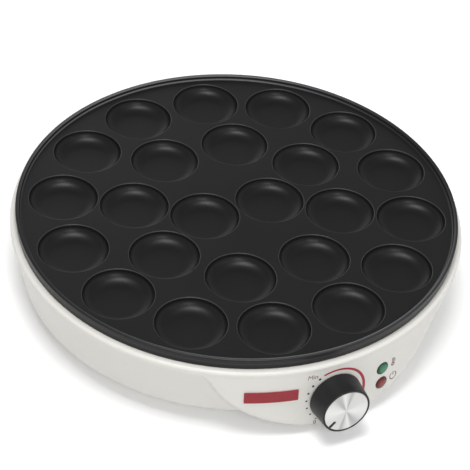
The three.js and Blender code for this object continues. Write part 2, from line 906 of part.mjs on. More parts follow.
// A contact leaf, with its blade beyond the stack and a silver contact on one side.
function contactLeaf(front, contactSide) {
  const back = front - leafThickness;
  const contactEnds = contactSide > 0 ? [back, front + contactHeight] : [back - contactHeight, front];
  const button = post(contactRadius, ...contactEnds, pinSides).translate(contactOffset, 0, 0);
  const strip = block([frameLeft - leafTab, frameEnd], [-leafHalfHeight, leafHalfHeight], [back, front]);
  return cut(joined(strip, button), rivetHole);
}

piece("moving_contact_leaf", contactLeaf(firstLeaf, -1), brass, dial);
piece("fixed_contact_leaf", contactLeaf(secondLeaf, 1), brass, dial);
const bimetalStrip = cut(
  block(
    [frameLeft, frameEnd],
    [-leafHalfHeight, leafHalfHeight],
    [bimetal - bimetalThickness, bimetal],
  ),
  rivetHole,
);
piece("bimetal_strip", bimetalStrip, steel, dial);
const rivetFront = frameFront + contactGap;
const rivetBack = stackBack;
const rivet = joined(
  post(rivetRadius, rivetBack - rivetHeadHeight / 2, rivetFront + rivetHeadHeight / 2, pinSides),
  post(rivetHeadRadius, rivetFront, rivetFront + rivetHeadHeight, pinSides),
  post(rivetHeadRadius, rivetBack - rivetHeadHeight, rivetBack, pinSides),
);
piece("stack_rivet", rivet.translate(-stackOffset, 0, 0), steel, dial);

// Bracket: a leaf across the thermostat's neck and a level flange under the boss of the plate.
function thermostatBracket() {
  const leafTop = (bracketTop - bracketThickness / 2 - knobHeight) / Math.cos(panelLean);
  const leaf = cut(
    block(
      [-bracketHalfWidth, bracketHalfWidth],
      [-bracketHang, leafTop],
      [bracketFront - bracketThickness, bracketFront],
    ),
    post(
      neckRadius + contactGap,
      bracketFront - 2 * bracketThickness,
      bracketFront + bracketThickness,
      pinSides,
    ),
  ).applyMatrix4(dial.matrix);
  const flangeFront = -panelRadiusAt(knobHeight) - bracketFront + bracketThickness / 2;
  const flange = cut(
    block(
      [-bracketHalfWidth, bracketHalfWidth],
      [flangeFront, -outerWellCircle + bracketReach],
      [bracketTop - bracketThickness, bracketTop],
    ),
    post(
      screwRadius + contactGap, bracketTop - 2 * bracketThickness, bracketTop + bracketThickness, pinSides,
    ).translate(0, -outerWellCircle, 0),
  );
  return joined(leaf, flange);
}

piece("thermostat_bracket", thermostatBracket(), steel);
const bracketHeadTop = bracketTop - bracketThickness - contactGap;
const bracketScrew = joined(
  post(screwHeadRadius, bracketHeadTop - screwHeadHeight, bracketHeadTop, pinSides),
  post(screwRadius, bracketHeadTop - screwHeadHeight / 2, bossEnd + screwGrip, pinSides),
);
piece("bracket_screw", bracketScrew.translate(0, -outerWellCircle, 0), brightSteel);

// Signal lamps: a dark ring in the panel's hole, a domed lens in the ring and a neon lamp behind it.
const lensRadius = lensRingRadius - lensRingWall - contactGap;

function lens() {
  const dome = quarterArc([0, lensEdge], [lensRadius, lensProud - lensEdge], 0, 2 * quarterSteps);
  return turned([[0, -lensLength], [lensRadius, -lensLength], ...dome], smallSides);
}

function neonLamp() {
  const front = -lensLength - contactGap;
  const back = front - lampLength;
  const lead = post(lampLeadRadius, back - lampLeadLength, back + lampLeadLength, pinSides / 2);
  return joined(
    post(lampRadius, back, front, pinSides),
    lead.clone().translate(lampRadius / 2, 0, 0),
    lead.clone().translate(-lampRadius / 2, 0, 0),
  );
}

[
  ["green", upperLampFrame, greenGlass],
  ["red", lowerLampFrame, redGlass],
].forEach(([colour, frame, glass]) => {
  const ring = pipe(
    lensRingRadius, lensRingRadius - lensRingWall, -lensRingLength, lensRingProud, smallSides,
  );
  piece(`lens_ring_${colour}`, ring, blackPlastic, frame);
  piece(`lens_${colour}`, lens(), glass, frame);
  piece(`lamp_${colour}`, neonLamp(), clearGlass, frame);
});

// Name plate: a thin plain plate that follows the panel.
function namePlate() {
  const low = badgeMiddle - badgeHeight;
  const high = badgeMiddle + badgeHeight;
  const inner = contactGap;
  const outer = contactGap + badgeThickness;
  const skin = turned(
    [
      [panelRadiusAt(low) + inner, low],
      [panelRadiusAt(low) + outer, low],
      [panelRadiusAt(high) + outer, high],
      [panelRadiusAt(high) + inner, high],
    ],
    roundSides,
  );
  const depth = 10 * badgeThickness;
  const window = block(
    [-badgeWidth / 2, badgeWidth / 2],
    [-badgeHeight / 2, badgeHeight / 2],
    [-depth, depth],
  ).applyMatrix4(badgeFrame.matrix);
  return shared(skin, window);
}

piece("name_plate", namePlate(), redEnamel);

// Cord gland: a grommet with a flange on each side of the leaning wall and a level bore for the cord.
const glandNeck = cordBore + glandWall;
const glandFlangeRadius = glandNeck + glandFlange;
const wallBow = glandFlangeRadius ** 2 / (2 * wallBottomRadius); // wall's curve across the flange
const glandInside = -wallThickness - wallBow - contactGap;
const grommet = turned(
  [
    [0, glandInside - glandFlangeWall],
    [glandFlangeRadius, glandInside - glandFlangeWall],
    [glandFlangeRadius, glandInside],
    [glandNeck, glandInside],
    [glandNeck, contactGap],
    [glandFlangeRadius, contactGap],
    [glandFlangeRadius, contactGap + glandFlangeWall],
    [glandNeck, glandProud],
    [0, glandProud],
  ],
  smallSides,
);
const cordWay = post(
  cordBore,
  glandInside - glandFlangeWall - cordBore,
  glandProud + cordBore,
  smallSides,
).rotateX(wallLean);
piece("cord_gland", cut(grommet, cordWay), rubber, glandFrame);

// Terminal block: three ways, each with a wire bore and a screw well.
function terminalBlock() {
  const bottom = baseFloorTop + contactGap;
  const pitch = blockWidth / blockWays;
  const ways = turnsOf(blockWays, 0).map((_, k) => blockX + (k - (blockWays - 1) / 2) * pitch);
  const middle = bottom + blockHeight / 2;
  const bores = ways.map((x) =>
    post(blockBore, -blockDepth, blockDepth, pinSides / 2)
      .rotateX(Math.PI / 2)
      .translate(x, backRow, middle - blockBore),
  );
  const wells = ways.map((x) =>
    post(
      blockScrewBore, bottom + blockHeight - blockScrewDepth, bottom + blockHeight + cutOverrun, pinSides,
    ).translate(x, backRow, 0),
  );
  const box = block(
    [blockX - blockWidth / 2, blockX + blockWidth / 2],
    [backRow - blockDepth / 2, backRow + blockDepth / 2],
    [bottom, bottom + blockHeight],
  );
  return cut(box, ...bores, ...wells);
}

piece("terminal_block", terminalBlock(), nylon);

// Thermal fuse: a small cartridge held against the underside of the pan by a strap.
const fuseLevel = panBottom - contactGap - fuseRadius;
const fuse = joined(
  post(fuseRadius, -fuseLength / 2, fuseLength / 2, pinSides),
  post(
    fuseLeadRadius, -fuseLength / 2 - fuseLeadLength, fuseLength / 2 + fuseLeadLength, pinSides / 2,
  ),
)
  .rotateY(Math.PI / 2)
  .translate(fuseX, backRow, fuseLevel);
piece("thermal_fuse", fuse, brightSteel);

function fuseStrap() {
  const inner = fuseRadius + contactGap;
  const outer = inner + strapWall;
  const top = fuseRadius;
  const outline = new THREE.Shape();
  outline.moveTo(-outer - strapFoot, top);
  outline.lineTo(-outer - strapFoot, top - strapWall);
  outline.lineTo(-outer, top - strapWall);
  outline.lineTo(-outer, 0);
  outline.absarc(0, 0, outer, Math.PI, 2 * Math.PI, false);
  outline.lineTo(outer, top - strapWall);
  outline.lineTo(outer + strapFoot, top - strapWall);
  outline.lineTo(outer + strapFoot, top);
  outline.lineTo(inner, top);
  outline.lineTo(inner, 0);
  outline.absarc(0, 0, inner, 2 * Math.PI, Math.PI, true);
  outline.lineTo(-inner, top);
  return new THREE.ExtrudeGeometry(outline, { depth: strapWidth, bevelEnabled: false, curveSegments: 8 })
    .translate(0, 0, -strapWidth / 2)
    .rotateX(Math.PI / 2)
    .rotateZ(Math.PI / 2)
    .translate(fuseX, backRow, fuseLevel);
}

piece("fuse_strap", fuseStrap(), steel);

// Earth: a ring tag screwed to the underside of the pan.
const tagTop = panBottom - contactGap;
const tagBottom = tagTop - tabThickness;
const earthTag = cut(
  joined(
    post(earthTagRadius, tagBottom, tagTop, pinSides),
    block(
      [-earthTagTail, 0],
      [-earthTagWidth / 2, earthTagWidth / 2],
      [tagBottom, tagTop],
    ),
  ),
  post(screwRadius + contactGap, tagBottom - cutOverrun, tagTop + cutOverrun, pinSides),
);
piece("earth_tag", earthTag.translate(earthX, earthY, 0), brass);
const earthHeadTop = tagBottom - contactGap;
const earthScrew = joined(
  post(screwHeadRadius, earthHeadTop - screwHeadHeight, earthHeadTop, pinSides),
  post(screwRadius, earthHeadTop - screwHeadHeight / 2, panTop + screwHeadHeight, pinSides),
);
piece("earth_screw", earthScrew.translate(earthX, earthY, 0), brightSteel);

// Wires: each leaves its terminal straight, comes down to a run of its own above the base and climbs to
// the terminal at its far end.
function wire(name, look, run, from, fromWay, to, toWay) {
  const level = baseFloorTop + wireLevel + run * wireSpacing;
  const leave = from.clone().addScaledVector(fromWay, wireLead);
  const arrive = to.clone().addScaledVector(toWay, wireLead);
  const down = leave.clone().lerp(arrive, wireRunShare).setZ(level);
  const up = leave.clone().lerp(arrive, 1 - wireRunShare).setZ(level);
  const route = new THREE.CatmullRomCurve3([from, leave, down, up, arrive, to]);
  piece(name, rod(route, wireRadius, wireSteps, wireSides), look);
}

const left = new THREE.Vector3(-1, 0, 0);
const right = new THREE.Vector3(1, 0, 0);
const forward = new THREE.Vector3(0, -1, 0);
const downward = new THREE.Vector3(0, 0, -1);
const wireGap = contactGap + tabThickness / 2;
const leafBladeAt = (front) =>
  new THREE.Vector3(frameLeft - leafTab - wireGap, 0, front).applyMatrix4(dial.matrix);
const blockWayAt = (way) =>
  new THREE.Vector3(
    blockX + (way * blockWidth) / blockWays,
    backRow - blockDepth / 2 - wireGap,
    baseFloorTop + contactGap + blockHeight / 2 - blockBore,
  );
const tabAt = (k) => heaterEnds[k].tip.clone().setZ(tabTop - tabLength - wireGap);
const fuseLeadAt = (side) =>
  new THREE.Vector3(fuseX + side * (fuseLength / 2 + fuseLeadLength + wireGap), backRow, fuseLevel);
const earthTailAt = new THREE.Vector3(
  earthX - earthTagTail / 2, earthY, tagBottom - contactGap - wireRadius,
);
wire("live_wire", brownSheath, 0, blockWayAt(-1), forward, leafBladeAt(firstLeaf), left);
wire("switched_wire", brownSheath, 1, leafBladeAt(secondLeaf), left, fuseLeadAt(-1), left);
wire("fuse_wire", brownSheath, 2, fuseLeadAt(1), right, tabAt(1), downward);
wire("neutral_wire", blueSheath, 0, blockWayAt(1), forward, tabAt(0), downward);
wire("earth_wire", greenSheath, 1, blockWayAt(0), forward, earthTailAt, left);

// The origin lies under the middle of the whole part.
const pancakeMaker = new THREE.Group();
pancakeMaker.add(body);
const bounds = new THREE.Box3().setFromObject(pancakeMaker, true);
const middle = bounds.getCenter(new THREE.Vector3());
body.position.set(-middle.x, -middle.y, 0);

export default pancakeMaker;
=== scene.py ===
"""Mini pancake maker: a round non-stick plate with 24 wells on a low off-white housing with a dial."""

import json
import math

import bmesh
import bpy
from mathutils import Matrix, Vector
from mathutils.geometry import interpolate_bezier


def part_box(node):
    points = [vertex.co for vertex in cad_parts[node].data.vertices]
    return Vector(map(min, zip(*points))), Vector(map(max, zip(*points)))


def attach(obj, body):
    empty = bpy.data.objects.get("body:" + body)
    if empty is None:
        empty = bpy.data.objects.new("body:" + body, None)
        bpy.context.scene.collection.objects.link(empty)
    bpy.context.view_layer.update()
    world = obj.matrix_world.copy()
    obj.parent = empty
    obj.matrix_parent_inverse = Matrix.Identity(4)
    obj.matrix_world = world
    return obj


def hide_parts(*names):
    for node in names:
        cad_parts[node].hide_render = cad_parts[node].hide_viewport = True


bl_info = {
    "name": "Mini Pancake Maker",
    "version": (1, 0, 0),
    "blender": (4, 5, 0),
    "location": "View3D > Sidebar > Pancake Maker",
    "description": "Builds a mini pancake maker: cooking plate, housing, knob, dial, lamps and base",
    "category": "Add Mesh",
}

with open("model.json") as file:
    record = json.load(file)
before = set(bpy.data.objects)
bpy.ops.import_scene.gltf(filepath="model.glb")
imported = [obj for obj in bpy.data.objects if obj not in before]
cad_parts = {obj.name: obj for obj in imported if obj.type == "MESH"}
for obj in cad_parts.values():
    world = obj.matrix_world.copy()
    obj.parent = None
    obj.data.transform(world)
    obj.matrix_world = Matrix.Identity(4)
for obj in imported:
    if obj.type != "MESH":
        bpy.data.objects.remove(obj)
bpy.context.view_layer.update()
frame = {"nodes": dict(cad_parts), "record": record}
PLATE_LOW, PLATE_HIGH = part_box("cooking_plate")
HOUSING_LOW, HOUSING_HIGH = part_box("housing")
BASE_LOW, BASE_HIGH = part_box("base_cover")
MIDDLE = Vector(((PLATE_LOW.x + PLATE_HIGH.x) / 2, (PLATE_LOW.y + PLATE_HIGH.y) / 2, 0))
TURN = 2 * math.pi

# Lengths in metres and an angle that belong to the tools, not to a piece
OVERRUN = 0.001  # how far a cutter reaches past the face that it opens
PANEL_BACK = 0.1  # how far in front of the plate's axis the panel's block is closed
WELD_DISTANCE = 1e-7  # points nearer than this are one point
SAME_LENGTH = 1e-6  # lengths that differ by less than this count as equal
EDGE_SLACK = 0.0001  # how near an edge lies to the place where it is looked for
RIM_ANGLE = math.radians(60)  # an edge that turns by more than this is a face's rim

# Steps of a full turn, from large round shapes to small ones
LARGE_STEPS = 256
COVER_STEPS = 192
ROUND_STEPS = 128
WELL_STEPS = 72
SMALL_STEPS = 64
HOLE_STEPS = 48
PIN_STEPS = 32
TIP_STEPS = 24
DOT_STEPS = 20

# Steps of other curves
WELL_WALL_STEPS = 9
WELL_RIM_STEPS = 4
CHIN_STEPS = 22
SIDE_POINTS = 13
PANEL_COLUMNS = 48
PANEL_ROUND_STEPS = 5
ARC_PRINT_STEPS = 80
RING_PRINT_STEPS = 24
CROWN_STEPS = 8

BEND_SHARE = 2 / 3  # place of a cubic curve's handles on the way to the one bend that they stand for
CAPITAL_SHARE = 0.72  # height of a capital, as a share of the lettering's size
FACET_RATE = 4200  # facets in a lens, in radians per metre

# Painted reflection in sectors of the spun disc: middle in degrees, sharpness, and how much lighter or
# darker they are
DISC_REFLECTION_SECTORS = ((99, 70, 0.40), (169, 5, 0.30), (77, 80, -0.55), (118, 14, -0.50))

# Lamps of the stage: name, place, size and power
STAGE_LAMPS = (
    ("overhead", (-0.24, -0.22, 1.55), 0.6, 13.0),
    ("front_right", (0.73, -1.13, 1.34), 0.6, 1.6),
    ("front_left", (-0.42, -1.52, 1.35), 0.6, 8.7),
    ("back", (0.10, 1.90, 0.60), 1.2, 3.0),
)


# Properties: the sizes and colours that a user may change


def setting(kind, **fixed):
    """Makes settings of one kind from a name, a default and a description."""
    return lambda name, default, description: kind(
        name=name, default=default, description=description, **fixed
    )


length = setting(bpy.props.FloatProperty, min=0, precision=5, unit="LENGTH")
signed_length = setting(bpy.props.FloatProperty, precision=5, unit="LENGTH")
share = setting(bpy.props.FloatProperty, min=0, max=1, subtype="FACTOR")
count = setting(bpy.props.IntProperty, min=1)
colour = setting(bpy.props.FloatVectorProperty, size=3, min=0, max=1, subtype="COLOR")
focal_length = setting(bpy.props.FloatProperty, min=1, unit="CAMERA")


def angle(name, degrees, description):
    """A settable angle, given here in degrees."""
    return setting(bpy.props.FloatProperty, unit="ROTATION")(name, math.radians(degrees), description)


class PlateSettings(bpy.types.PropertyGroup):
    """Sizes and colours of the cooking plate."""

    radius: length("Radius", (PLATE_HIGH.x - PLATE_LOW.x) / 2, "Outer radius at the lip")
    lip_width: length("Lip width", 0.0025, "Level top of the lip")
    lip_depth: length("Lip depth", 0.0033, "Lip above the cooking surface")
    lip_slope: length("Lip slope", 0.0008, "How far the lip's inner face leans in")
    lip_round: length("Lip rounding", 0.0009, "Rounding of the lip's outer edge")
    lip_edge: length("Lip edge", 0.0009, "Rounding of the lip's inner edge")
    lip_fillet: length("Lip fillet", 0.0011, "Fillet at the foot of the lip")
    skirt_taper: length("Skirt taper", 0.0006, "How far the skirt draws in downwards")
    skirt_wall: length("Skirt wall", 0.0035, "Thickness of the skirt")
    web_wall: length("Web wall", 0.0035, "Thickness between the wells")
    skirt_height: length("Skirt height", 0.0077, "Lip's top to the skirt's lower edge")
    skirt_round: length("Skirt rounding", 0.0003, "Rounding of the skirt's lower edge")
    well_radius: length("Well radius", 0.023, "Radius of a well at its rim")
    well_depth: length("Well depth", 0.007, "Depth of a well")
    well_floor: length("Well floor", 0.014, "Radius of a well's flat floor")
    well_rounding: length("Well rounding", 0.00078, "Rounding of a well's rim")
    bump_wall: length("Bump wall", 0.0025, "Wall of a well under the plate")
    bump_floor: length("Bump floor", 0.0035, "Floor of a well under the plate")
    outer_circle: length("Outer circle", 0.1166, "Circle of the outer wells")
    middle_circle: length("Middle circle", 0.069, "Circle of the middle wells")
    inner_circle: length("Inner circle", 0.0238, "Circle of the inner wells")
    outer_wells: count("Outer wells", 14, "Wells on the outer circle")
    middle_wells: count("Middle wells", 8, "Wells on the middle circle")
    inner_wells: count("Inner wells", 2, "Wells on the inner circle")
    channel_radius: length("Channel radius", 0.0036, "Groove for the heating element")
    channel_height: length("Channel height", 0.046, "Middle of the groove above the table")
    ridge_half: length("Ridge half width", 0.006, "Half the width of the ridge round the groove")
    post_radius: length("Post radius", 0.005, "Posts for the tie screws")
    post_gap: length("Post gap", 0.0011, "Reflector pan's underside to the posts' ends")
    coating: colour("Coating", (0.0085, 0.0087, 0.0094), "Non-stick coating")
    # Colour of the painted highlight lines along the lip's edges and round the wells' rims
    worn: colour("Worn coating", (0.120, 0.120, 0.125), "Coating polished by wear along the lip")


class HousingSettings(bpy.types.PropertyGroup):
    """Sizes and colour of the housing and its front panel."""

    radius: length("Radius", (HOUSING_HIGH.x - HOUSING_LOW.x) / 2, "Outer radius of the ring")
    top: length("Top", HOUSING_HIGH.z, "Top of the ring above the table")
    ring_height: length("Ring height", 0.0046, "Height of the ring's band")
    ring_step: length("Ring step", 0.0005, "Wall set back under the ring")
    shoulder: length("Shoulder", 0.0021, "Rounding of the ring's upper edge")
    wall_bottom: length("Wall bottom", 0.015, "Foot of the wall above the table")
    wall_taper: length("Wall taper", 0.0068, "How far the wall draws in downwards")
    wall: length("Wall", 0.0025, "Thickness of the wall")
    ledge: length("Ledge", 0.003, "Thickness of the ledge under the plate")
    seat_radius: length("Seat radius", 0.1437, "Opening under the plate")
    foot_round: length("Foot rounding", 0.0007, "Rounding of the wall's lower edge")
    lean: angle("Panel lean", 3.8, "How far the panel flares out towards the table")
    chin_bottom: length("Chin bottom", 0.0045, "Panel's lowest point above the table")
    chin_arc: length("Chin arc", 0.104, "Radius of the panel's lower edge")
    chin_half: length("Chin half width", 0.062, "Half the width of the arc")
    side_reach: length("Side reach", 0.0145, "Arc's end out to where the side is steepest")
    side_rise: share("Side rise", 0.73, "Height of that place between the arc's end and the ring")
    side_slope: angle("Side slope", 60, "Slope of the side at its steepest")
    side_lead: length("Side lead", 0.008, "Softness of the bend into the side")
    flare_reach: length("Flare reach", 0.0085, "From there out to where the panel meets the ring")
    edge_round: length("Edge rounding", 0.0031, "Rounding of the panel's edge")
    right_stretch: share("Right stretch", 0.06, "How much wider the panel is to the right of the knob")
    plastic: colour("Plastic", (0.775, 0.760, 0.715), "Off-white plastic")


class KnobSettings(bpy.types.PropertyGroup):
    """Sizes and colours of the knob."""

    height: length("Height", 0.0276, "Knob's axis at the panel above the table")
    gap: length("Gap", 0.0003, "Panel to the knob's back")
    depth: length("Depth", 0.01555, "Back to front")
    back_radius: length("Back radius", 0.01755, "Radius at the back")
    front_radius: length("Front radius", 0.01625, "Radius at the front")
    edge_round: length("Edge rounding", 0.00028, "Rounding of the front edge")
    back_round: length("Back rounding", 0.00035, "Rounding of the back edge")
    wall: length("Wall", 0.0022, "Thickness of the skirt")
    front_wall: length("Front wall", 0.0026, "Thickness behind the disc")
    hub_radius: length("Hub radius", 0.0055, "Hub round the spindle")
    hub_set_back: length("Hub set back", 0.0008, "Hub behind the skirt's edge")
    bore_radius: length("Bore radius", 0.0033, "Bore for the spindle")
    bore_flat: length("Bore flat", 0.0022, "Axis to the flat of the bore")
    bore_depth: length("Bore depth", 0.0098, "Depth of the bore")
    hole_gap: length("Hole gap", 0.0012, "How much wider than the bore the panel's hole is")
    disc_radius: length("Disc radius", 0.01485, "Spun aluminium disc")
    disc_thickness: length("Disc thickness", 0.0006, "Thickness of the disc")
    disc_gap: length("Disc gap", 0.0002, "Gap round and under the disc")
    disc_round: length("Disc rounding", 0.00018, "Rounding of the disc's edge")
    pointer_width: length("Pointer width", 0.0021, "Width of the pointer")
    pointer_length: length("Pointer length", 0.0054, "Length of the pointer on the disc")
    pointer_reach: length("Pointer reach", 0.00018, "Pointer's end beyond the disc's edge")
    pointer_gap: length("Pointer gap", 0.00008, "Gap round the pointer in the disc")
    pointer_rest: angle("Pointer at rest", 131.5, "Pointer at 0, anticlockwise from the top")
    plastic: colour("Plastic", (0.0115, 0.0115, 0.0125), "Black plastic")
    aluminium: colour("Aluminium", (0.61, 0.61, 0.60), "Spun disc")


class DialSettings(bpy.types.PropertyGroup):
    """Sizes and colours of the printed dial."""

    dots: count("Dots", 7, "Dots between Min and 0")
    dot_circle: length("Dot circle", 0.01943, "Middle dot from the knob's axis")
    dot_spread: length("Dot spread", 0.0006, "How much further out the first and the last dot stand")
    dot_large: length("Large dot", 0.0009, "Radius of the dot at Min")
    dot_small: length("Small dot", 0.00055, "Radius of the dot at 0")
    dots_start: angle("First dot", 34, "First dot, anticlockwise from the top")
    dots_end: angle("Last dot", 143, "Last dot, anticlockwise from the top")
    arc_radius: length("Arc radius", 0.0213, "Outer radius of the red arc at its start")
    arc_growth: length("Arc growth", 0.0014, "How much larger that radius is at its end")
    arc_thin: length("Arc's thin end", 0.0012, "Width of the arc at its start")
    arc_thick: length("Arc's thick end", 0.0025, "Width of the arc at its end")
    arc_start: angle("Arc's start", 24, "Start of the arc, anticlockwise from the top")
    arc_end: angle("Arc's end", 140, "End of the arc, clockwise from the top")
    letter_height: length("Letter height", 0.0034, "Height of the capital M")
    letter_slant: share("Letter slant", 0.16, "How far Min leans to the right")
    zero_height: length("Zero height", 0.0030, "Height of the 0")
    zero_circle: length("Zero circle", 0.0227, "0 from the knob's axis")
    zero_turn: angle("Zero's place", 146, "0, anticlockwise from the top")
    min_x: length("Min's distance", 0.0160, "Min to the left of the knob's axis")
    min_y: length("Min's height", 0.0195, "Min above the knob's axis")
    symbol_size: length("Symbol size", 0.0063, "Height of the symbols beside the lamps")
    symbol_rise: length("Symbol rise", 0.0006, "Symbols above their lamp's middle")
    thermometer_x: length("Thermometer's distance", 0.0091, "Thermometer to the right of its lamp's middle")
    power_x: length("Power mark's distance", 0.0101, "Power mark to the right of its lamp's middle")
    ink_proud: length("Ink", 0.00004, "Print above the panel, and as much of it is in the panel")
    longest_edge: length("Longest edge", 0.0012, "Print's edges longer than this are cut to bend")
    red_ink: colour("Red ink", (0.40, 0.022, 0.045), "Arc")
    dark_ink: colour("Dark ink", (0.045, 0.032, 0.030), "Dots and 0")
    brown_ink: colour("Brown ink", (0.20, 0.085, 0.080), "Min and symbols")


class LampSettings(bpy.types.PropertyGroup):
    """Sizes and colours of the signal lamps."""

    turn: angle("Turn", 13.35, "Lamps to the right of the knob")
    middle: length("Middle", 0.02835, "Middle of the pair above the table")
    spacing: length("Spacing", 0.0121, "Distance between the lamps")
    ring_radius: length("Ring radius", 0.0044, "Dark ring round a lens")
    ring_wall: length("Ring wall", 0.0007, "Width of the ring")
    ring_proud: length("Ring proud", 0.0004, "Ring out of the panel")
    ring_length: length("Ring length", 0.0045, "Ring behind the panel's face")
    ring_round: length("Ring rounding", 0.00018, "Rounding of the ring's front edges")
    lens_gap: length("Lens gap", 0.0001, "Gap between lens and ring")
    hole_gap: length("Hole gap", 0.0003, "Gap between ring and housing")
    lens_proud: length("Lens proud", 0.0016, "Lens out of the panel")
    lens_edge: length("Lens edge", 0.0004, "Straight edge of the lens")
    lens_slope: length("Lens slope", 0.0009, "Width of the slope round the lens")
    lens_round: length("Lens rounding", 0.000225, "Rounding of the slope's two edges")
    lens_crown: length("Lens crown", 0.0003, "Crown of the lens inside its slope")
    lens_length: length("Lens length", 0.004, "Lens behind the panel's face")
    ring_shade: share("Ring shade", 0.28, "Ring's colour as a share of its lens's colour")
    green: colour("Green", (0.036, 0.190, 0.096), "Green lens")
    red: colour("Red", (0.215, 0.036, 0.030), "Red lens")


class NamePlateSettings(bpy.types.PropertyGroup):
    """Sizes and colour of the bare name plate."""

    turn: angle("Turn", -15.8, "Plate to the left of the knob")
    height: length("Height", 0.0354, "Middle above the table")
    width: length("Width", 0.0342, "Width of the plate")
    tall: length("Tall", 0.0083, "Height of the plate")
    gap: length("Gap", 0.0003, "Adhesive under the plate")
    thickness: length("Thickness", 0.0006, "Thickness of the plate")
    corner: length("Corner", 0.00045, "Rounding of the corners")
    rim_round: length("Rim rounding", 0.00021, "Rounding of the upper edge")
    enamel: colour("Enamel", (0.300, 0.013, 0.024), "Red enamel")


class BaseSettings(bpy.types.PropertyGroup):
    """Sizes and colours of the base cover, feet and screws."""

    radius: length("Radius", (BASE_HIGH.x - BASE_LOW.x) / 2, "Outer radius of the flange")
    flange: length("Flange", 0.009, "Width of the flange")
    slope: length("Slope", 0.006, "Width of the slope")
    wall: length("Wall", 0.002, "Thickness of the cover")
    bend_round: length("Bend rounding", 0.0012, "Rounding where the floor meets the slope")
    flange_round: length("Flange rounding", 0.0008, "Rounding where the slope meets the flange")
    vents: count("Vents", 12, "Vents round the middle")
    vent_circle: length("Vent circle", 0.062, "Circle of the vents")
    vent_length: length("Vent length", 0.016, "Length of a vent")
    vent_width: length("Vent width", 0.003, "Width of a vent")
    feet: count("Feet", 4, "Feet under the cover")
    foot_circle: length("Foot circle", 0.1, "Circle of the feet")
    foot_radius: length("Foot radius", 0.009, "Radius of a foot")
    foot_round: length("Foot rounding", 0.001, "Rounding of a foot's lower edge")
    pad_round: length("Pad rounding", 0.0004, "Rounding of a foot's upper edge")
    foot_hollow: length("Foot hollow", 0.0006, "Depth of the hollow under a foot")
    hollow_radius: length("Hollow radius", 0.00558, "Radius of the hollow's ceiling")
    hollow_edge: length("Hollow edge", 0.00612, "Radius of the hollow at the table")
    foot_neck: length("Foot neck", 0.003, "Neck through the cover")
    foot_bulb: length("Foot bulb", 0.0042, "Bulb above the cover")
    foot_bulb_height: length("Foot bulb height", 0.0022, "Height of the bulb")
    gap: length("Gap", 0.0003, "Gap between touching pieces")
    screw_radius: length("Screw radius", 0.002, "Shank of a tie screw")
    screw_hole: length("Screw hole", 0.0023, "Hole for a tie screw")
    head_radius: length("Head radius", 0.004, "Head of a tie screw")
    head_height: length("Head height", 0.0024, "Height of a head")
    head_face: length("Head face", 0.0028, "Radius of a head's flat face")
    head_dome: length("Head dome", 0.00108, "Height of a head's dome")
    head_round: length("Head rounding", 0.0006, "Rounding of a head's face")
    slot_width: length("Slot width", 0.0009, "Arm of a head's cross")
    slot_length: length("Slot length", 0.0042, "Reach of a head's cross")
    slot_depth: length("Slot depth", 0.0013, "Depth of a head's cross")
    shade: share("Shade", 0.97, "Cover's colour as a share of the housing's")
    rubber: colour("Rubber", (0.022, 0.022, 0.023), "Feet and gland")
    zinc: colour("Zinc", (0.72, 0.73, 0.75), "Zinc-plated screws")


class GlandSettings(bpy.types.PropertyGroup):
    """Sizes of the cord gland."""

    height: length("Height", 0.027, "Gland's middle at the wall above the table")
    bore: length("Bore", 0.0043, "Bore for the cord")
    wall: length("Wall", 0.002, "Wall round the bore")
    flange: length("Flange", 0.0032, "Flange beyond the neck")
    flange_wall: length("Flange wall", 0.002, "Thickness of the flanges")
    proud: length("Proud", 0.0046, "Gland out of the wall")
    flange_round: length("Flange rounding", 0.0005, "Rounding of the outer flange")
    end_round: length("End rounding", 0.0004, "Rounding of the gland's end")
    gap: length("Gap", 0.0003, "Gap between flange and wall")


class StageSettings(bpy.types.PropertyGroup):
    """Camera, floor and surround."""

    camera_x: signed_length("Camera X", -0.41225, "Camera to the right of the plate's axis")
    camera_y: signed_length("Camera Y", -0.80735, "Camera behind the plate's axis")
    camera_z: length("Camera height", 0.81967, "Camera above the table")
    aim_x: signed_length("Aim X", -0.01431, "Point aimed at, to the right of the plate's axis")
    aim_y: signed_length("Aim Y", -0.02757, "Point aimed at, behind the plate's axis")
    aim_z: length("Aim height", 0.062, "Point aimed at, above the table")
    roll: angle("Roll", 4.386, "Camera's roll, anticlockwise")
    lens: focal_length("Lens", 135.32, "Focal length")
    floor_size: length("Floor", 30.0, "Side of the floor")
    floor: colour("Floor", (0.66, 0.66, 0.66), "Floor's own colour, which lights the object from below")
    floor_shadow: colour("Floor's shadow", (1.0, 1.0, 1.0), "White that a shadow takes from the floor")
    floor_glow: share("Floor's glow", 0.14, "White that stays on the floor in a shadow")
    surround: share("Surround", 0.32, "Light from overhead, where white at the horizon is 1")
    surround_height: share("Surround's height", 0.6, "How far up the surround's white fades out")


# Shader nodes


def maths(operation, reflected=False):
    """A method of a number that adds a Math node of one kind."""

    def method(self, *others):
        operands = (*others, self) if reflected else (self, *others)
        node = self.shader.node("ShaderNodeMath", {"operation": operation}, dict(enumerate(operands)))
        return Number(self.shader, node.outputs[0])

    return method


class Number:
    """A number in a shader. Arithmetic on numbers adds Math nodes."""

    __add__ = maths("ADD")
    __radd__ = maths("ADD", reflected=True)
    __sub__ = maths("SUBTRACT")
    __rsub__ = maths("SUBTRACT", reflected=True)
    __mul__ = maths("MULTIPLY")
    __rmul__ = maths("MULTIPLY", reflected=True)
    __truediv__ = maths("DIVIDE")
    __rtruediv__ = maths("DIVIDE", reflected=True)
    __pow__ = maths("POWER")
    sine = maths("SINE")
    cosine = maths("COSINE")
    angle_from = maths("ARCTAN2")  # angle of the point (other, self) about the origin

    def __init__(self, shader, socket):
        self.shader = shader
        self.socket = socket

    def hypotenuse(self, other):
        return (self * self + other * other) ** 0.5

    def clamped(self):
        node = self.shader.node("ShaderNodeClamp", {}, {"Value": self})
        return Number(self.shader, node.outputs[0])


